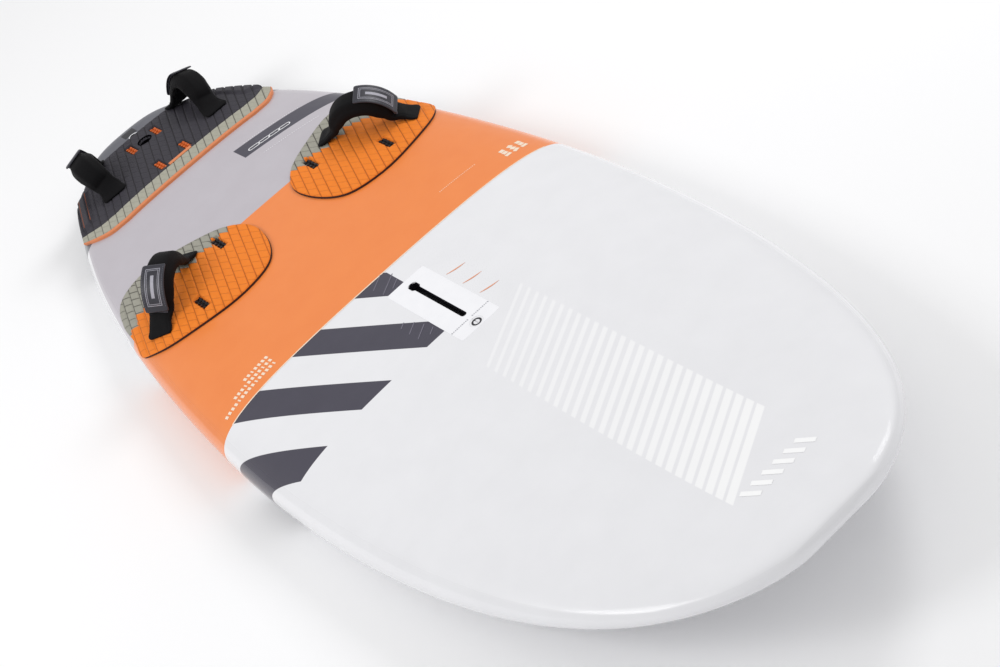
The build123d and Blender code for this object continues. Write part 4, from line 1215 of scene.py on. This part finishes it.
def coated_flap(name, dark, light):
    """Polyurethane-coated nylon of the flap: satin, with a crossed weave under the coat."""
    made, tree, shader, place = start_material(name)
    cloud = add(tree, "TexNoise", place, Scale=1000 / 10, Detail=3.0)
    colour = add(tree, "Mix", cloud, linear(dark), linear(light), data_type="RGBA")
    tree.links.new(colour, shader.inputs["Base Color"])
    rough = add(tree, "MapRange", cloud, To_Min=0.40, To_Max=0.55)
    tree.links.new(rough, shader.inputs["Roughness"])
    checks = add(tree, "TexVoronoi", place, Scale=1000 / 1.3, distance="CHEBYCHEV").node
    relief = add(tree, "Bump", Height=checks.outputs["Distance"], Distance=0.08e-3, Strength=0.6)
    tree.links.new(relief, shader.inputs["Normal"])
    return made


def woven_webbing(name, dark, light):
    """Woven polyester webbing: ribs across it, 1.6 mm apart."""
    made, tree, shader, place = start_material(name)
    z = add(tree, "SeparateXYZ", place).node.outputs["Z"]
    ribs = add(tree, "Math", z, 2 * math.pi / 0.0016, operation="MULTIPLY")
    ribs = add(tree, "Math", ribs, operation="SINE")
    cloud = add(tree, "TexNoise", place, Scale=1000 / 4, Detail=3.0)
    shade = add(tree, "MapRange", ribs, To_Min=0.75, To_Max=1.25)
    mixed = add(tree, "MapRange", add(tree, "Math", cloud, shade, operation="MULTIPLY"))
    colour = add(tree, "Mix", mixed, linear(dark), linear(light), data_type="RGBA")
    tree.links.new(colour, shader.inputs["Base Color"])
    shader.inputs["Roughness"].default_value = 0.75
    relief = add(tree, "Bump", Height=ribs, Distance=0.15e-3, Strength=0.8)
    tree.links.new(relief, shader.inputs["Normal"])
    return made


def stainless(name):
    """Turned and pickled A4 stainless steel."""
    made, tree, shader, place = start_material(name)
    cloud = add(tree, "TexNoise", place, Scale=1000 / 1.5, Detail=3.0)
    colour = add(tree, "Mix", cloud, linear("#B4B4B6"), linear("#C8C8CA"), data_type="RGBA")
    tree.links.new(colour, shader.inputs["Base Color"])
    shader.inputs["Metallic"].default_value = 1.0
    rough = add(tree, "MapRange", cloud, To_Min=0.25, To_Max=0.42)
    tree.links.new(rough, shader.inputs["Roughness"])
    fine = add(tree, "TexNoise", place, Scale=1000 / 0.3, Detail=3.0)
    relief = add(tree, "Bump", Height=fine, Distance=0.02e-3)
    tree.links.new(relief, shader.inputs["Normal"])
    return made


sleeve_neoprene = neoprene("black_neoprene", "#040305", "#0A090C")
flap_nylon = coated_flap("grey_coated_nylon", "#23222B", "#31303A")
loop_webbing = woven_webbing("grey_loop_webbing", "#3A3841", "#54515B")
inner_webbing = woven_webbing("black_webbing", "#0B0A0D", "#17161A")
print_ink = stencil_paint("grey_print_ink", "#9A99A4", "#B4B3BD", 0.45)
dress("strap_screws", stainless("a4_stainless"))
dress("strap_washers", black_nylon)


def resample(path, count):
    """Points evenly spaced along a path, and their distances from its start."""
    steps = np.linalg.norm(np.diff(path, axis=0), axis=1)
    run = np.concatenate([[0], np.cumsum(steps)])
    even = np.linspace(0, run[-1], count)
    return np.stack([np.interp(even, run, path[:, k]) for k in range(3)], -1), even


def unit(v):
    return v / np.linalg.norm(v, axis=-1, keepdims=True)


def sweep(path, sides, outs, widths, depths, ring, side_power=0.40, out_power=0.80, seam=0.0, droop=0.0):
    """Padded band: a rounded section carried along a path, closed at both ends; its edges may curl in."""
    angles = np.arange(ring) * 2 * math.pi / ring
    c, s = np.cos(angles), np.sin(angles)
    b = np.sign(c) * np.abs(c) ** side_power
    n = np.sign(s) * np.abs(s) ** out_power
    crease = seam * np.exp(-(((np.abs(b) - 0.80) / 0.035) ** 2))
    thick = depths[:, None] > 0.006
    n_size = depths[:, None] / 2 * n[None, :] - np.sign(s)[None, :] * crease[None, :] * thick
    curled = smooth_step(np.abs(b), 0.45, 1.05)
    n_size = n_size - np.multiply.outer(np.broadcast_to(droop, len(path)), curled)
    points = (path[:, None, :] + sides[:, None, :] * (widths[:, None] / 2 * b[None, :])[..., None]
              + outs[:, None, :] * n_size[..., None])
    stations = len(path)
    faces = [tuple(f)[::-1] for f in grid_faces(stations, ring, closed=True)]
    faces.append(tuple(range(ring)))
    faces.append(tuple(range(stations * ring - 1, (stations - 1) * ring - 1, -1)))
    return points, faces


def surface_film(path, sides, outs, run, patches, lift, rows=6):
    """Thin patches on a band's outer face; each is (start, end, low side, high side) in metres."""
    points, faces = [], []
    for s0, s1, b0, b1 in patches:
        count = max(2, int(rows * (s1 - s0) / 0.012) + 2)
        at = np.linspace(s0, s1, count)
        centre = np.stack([np.interp(at, run, path[:, k]) for k in range(3)], -1)
        out = unit(np.stack([np.interp(at, run, outs[:, k]) for k in range(3)], -1))
        side = unit(np.stack([np.interp(at, run, sides[:, k]) for k in range(3)], -1))
        grid = np.stack([centre + side * b + out * lift for b in (b0, b1)], 1)
        faces += [tuple(int(i) + len(points) for i in f) for f in grid_faces(count, 2)]
        points += [tuple(p) for p in grid.reshape(-1, 3)]
    return points, faces


def footstrap(name, feet, height, lean, side):
    """One footstrap, leaning over at rest: sleeve, loop webbing, flap, its print and its stitching."""
    ends, normals = [], []
    for x, y in feet:
        low, high = on_deck(x, side * y, 0.0), on_deck(x, side * y, 0.01)
        normal = unit(high - low)
        normals.append(normal)
        ends.append(low + normal * (PAD * normal[2] + AXIS_ABOVE_PAD))
    middle = (ends[0] + ends[1]) / 2
    along = unit(ends[1] - ends[0])
    across = unit(np.cross(along, [0, 0, 1]))
    up = np.cross(across, along)
    tilt = math.radians(side * lean)
    across, up = (across * math.cos(tilt) - up * math.sin(tilt),
                  up * math.cos(tilt) + across * math.sin(tilt))
    half_span = np.linalg.norm(ends[1] - ends[0]) / 2 - FOOT_INSET - SLEEVE
    crest = height - SLEEVE

    def arch(level, degrees):
        c, s = math.cos(math.radians(degrees)), math.sin(math.radians(degrees))
        a = -math.copysign(abs(c) ** ARCH_POWER, c) * (half_span + level)
        return middle + along * a + up * s**ARCH_POWER * (crest + level)

    def foot_point(a, lift):
        x, y = middle[:2] + along[:2] * a / np.linalg.norm(along[:2])
        return on_deck(x, y, PAD + lift)

    feet_marks = ((0.0475, 0.0018), (0.0405, 0.0036), (0.0320, 0.0050), (0.0225, 0.0085))
    first = [foot_point(-(half_span + a), lift) for a, lift in feet_marks]
    last = [foot_point(half_span + a, lift) for a, lift in feet_marks[::-1]]
    core = SLEEVE + 0.0005 - PADDING / 2
    legs_from = math.degrees(math.asin((0.020 / (crest + core)) ** (1 / ARCH_POWER)))
    tops = [arch(core, d) for d in np.linspace(legs_from, 180 - legs_from, 15)]
    path, run = resample(open_curve(first + tops + last, 16), SLEEVE_STATIONS)
    tangent = unit(np.gradient(path, axis=0))
    total = run[-1]
    ground = 1 - smooth_step(np.minimum(run, total - run), 0.026, 0.060)
    nearest = np.where((run < total / 2)[:, None], normals[0], normals[1])
    sides = np.repeat(across[None, :], len(path), 0)
    level_side = unit(sides - nearest * np.sum(sides * nearest, 1, keepdims=True))
    sides = unit(sides * (1 - ground[:, None]) + level_side * ground[:, None])
    outs = unit(np.cross(sides, tangent))
    sides = unit(np.cross(tangent, outs))
    near = np.minimum(run, total - run)
    widths = np.interp(near, [0, 0.003, 0.008, 0.022, 0.040, 0.065, 0.090],
                       [0.047, 0.056, 0.059, 0.054, 0.048, 0.055, 0.060])
    depths = np.interp(near, [0, 0.003, 0.010, 0.020, 0.032, 0.048, 0.068],
                       [0.0024, 0.0054, 0.0084, 0.0104, 0.0130, 0.0160, PADDING])
    curl = EDGE_CURL * smooth_step(near, 0.040, 0.085)
    points, faces = sweep(path, sides, outs, widths, depths, SLEEVE_RING, seam=0.0009, droop=curl)
    sleeve = make_piece(f"{name}_strap_sleeve", points, faces, sleeve_neoprene)
    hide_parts(f"{name}_strap_cover", f"{name}_strap_tabs")
    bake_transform(sleeve)
    dress(f"{name}_strap_webbing", inner_webbing)

    # Loop webbing on the sleeve's outer face, from under the flap's hinge to just above the foot.
    share = run / total
    span = np.nonzero((share > 0.53) & (total - run > 0.048))[0]
    lifted = path[span] + outs[span] * (depths[span, None] / 2 + 0.0005)
    loop_width = np.full(len(span), LOOP_WIDTH)
    loop_depth = np.full(len(span), LOOP_THICKNESS)
    points, faces = sweep(lifted, sides[span], outs[span], loop_width, loop_depth, 20, 0.25, 0.6)
    webbing = make_piece(f"{name}_strap_loop", points, faces, loop_webbing)
    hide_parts(f"{name}_strap_patch")
    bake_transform(webbing)

    # Flap: a coated strip that thickens into a rolled seam at its free end.
    turns_along = np.linspace(FLAP_FROM, FLAP_TO, 60)
    flap_path, flap_run = resample(np.array([arch(FLAP_LEVEL, d) for d in turns_along]), 56)
    flap_tangent = unit(np.gradient(flap_path, axis=0))
    flap_sides = np.repeat(across[None, :], len(flap_path), 0)
    flap_outs = unit(np.cross(flap_sides, flap_tangent))
    to_tip = flap_run[-1] - flap_run
    flap_widths = np.interp(to_tip, [0, 0.002, 0.006], [0.042, 0.047, 0.048])
    flap_widths = np.minimum(flap_widths, np.interp(flap_run, [0, 0.002, 0.005], [0.044, 0.047, 0.048]))
    flap_depths = np.interp(to_tip, [0, 0.0015, 0.003, 0.0055, 0.0075],
                            [0.0026, 0.0048, 0.0052, 0.0048, 0.0034])
    flap_depths = np.minimum(flap_depths, np.interp(flap_run, [0, 0.002], [0.0022, 0.0060]))
    points, faces = sweep(flap_path, flap_sides, flap_outs, flap_widths, flap_depths, 36, 0.22, 0.7)
    flap = make_piece(f"{name}_strap_closure", points, faces, flap_nylon)
    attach(flap, f"{name}_flap")
    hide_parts(f"{name}_strap_flap")

    reach = flap_run[-1]
    lines = []
    for inset, line in ((0.0, 0.0011), (0.0032, 0.0009)):
        s0, s1, b = 0.010 + inset, reach - 0.013 - inset, 0.0150 - inset
        lines += [(s0, s1, -b, -b + line), (s0, s1, b - line, b), (s0, s0 + line, -b, b),
                  (s1 - line, s1, -b, b)]
    lines.append((0.024, reach - 0.028, -0.0034, 0.0034))
    points, faces = surface_film(flap_path, flap_sides, flap_outs, flap_run, lines, 0.00192)
    ink = make_piece(f"{name}_flap_print", points, faces, print_ink)
    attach(ink, f"{name}_flap")
    stitches = [(s, s + 0.0030, b - 0.0004, b + 0.0004) for b in (-0.0205, 0.0205)
                for s in np.arange(0.006, reach - 0.012, 0.0044)]
    points, faces = surface_film(flap_path, flap_sides, flap_outs, flap_run, stitches, 0.00185, rows=2)
    thread = make_piece(f"{name}_flap_stitches", points, faces, thread_material)
    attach(thread, f"{name}_flap")


def sewing_thread(name):
    """Bonded polyester thread: dark grey, slightly shiny."""
    made, tree, shader, place = start_material(name)
    twist = add(tree, "TexNoise", place, Scale=1000 / 0.7, Detail=3.0)
    colour = add(tree, "Mix", twist, linear("#55545E"), linear("#6D6C76"), data_type="RGBA")
    tree.links.new(colour, shader.inputs["Base Color"])
    shader.inputs["Roughness"].default_value = 0.5
    relief = add(tree, "Bump", Height=twist, Distance=0.05e-3)
    tree.links.new(relief, shader.inputs["Normal"])
    return made


thread_material = sewing_thread("polyester_thread")
for word, side in (("port", 1), ("starboard", -1)):
    footstrap(f"front_{word}", FRONT_FEET, FRONT_HEIGHT, FRONT_LEAN, side)
    footstrap(f"rear_{word}", REAR_FEET, REAR_HEIGHT, REAR_LEAN, side)

# ------------------------------------------------------------------ studio
# A seamless white floor, an even white surround, and a soft box either side of the board, so that
# each strap throws a soft shadow inboard on its pad.
FLOOR_HALF = 30.0
FLOOR_DROP = 0.0005
BOX_SIZE, BOX_WATTS, BOX_HEIGHT, BOX_ASIDE = 1.5, 46, 2.9, 3.0
corners = [(x, y, -FLOOR_DROP) for x, y in ((-1, -1), (1, -1), (1, 1), (-1, 1))]
floor_points = [(x * FLOOR_HALF, y * FLOOR_HALF, z) for x, y, z in corners]
floor_material, tree, shader, place = start_material("studio_floor")
shader.inputs["Base Color"].default_value = linear("#FBFBFC")
shader.inputs["Roughness"].default_value = 0.7
floor = make_piece("studio_floor", floor_points, [(0, 1, 2, 3)], floor_material)

world = bpy.data.worlds.new("studio")
world.use_nodes = True
world.node_tree.nodes["Background"].inputs["Color"].default_value = (1, 1, 1, 1)
world.node_tree.nodes["Background"].inputs["Strength"].default_value = 0.68
bpy.context.scene.world = world
bpy.context.scene.view_settings.view_transform = "Standard"


def soft_box(name, place):
    """Square soft box aimed at the middle of the straps."""
    light = bpy.data.lights.new(name, "AREA")
    light.shape = "SQUARE"
    light.size = BOX_SIZE
    light.energy = BOX_WATTS
    lamp = bpy.data.objects.new(name, light)
    direction = Vector((-0.3, 0.0, 0.1)) - Vector(place)
    lamp.matrix_world = Matrix.Translation(place) @ direction.to_track_quat("-Z", "Y").to_matrix().to_4x4()
    bpy.context.scene.collection.objects.link(lamp)


soft_box("port_light", (-0.6, BOX_ASIDE, BOX_HEIGHT))
soft_box("starboard_light", (-0.6, -BOX_ASIDE, BOX_HEIGHT))
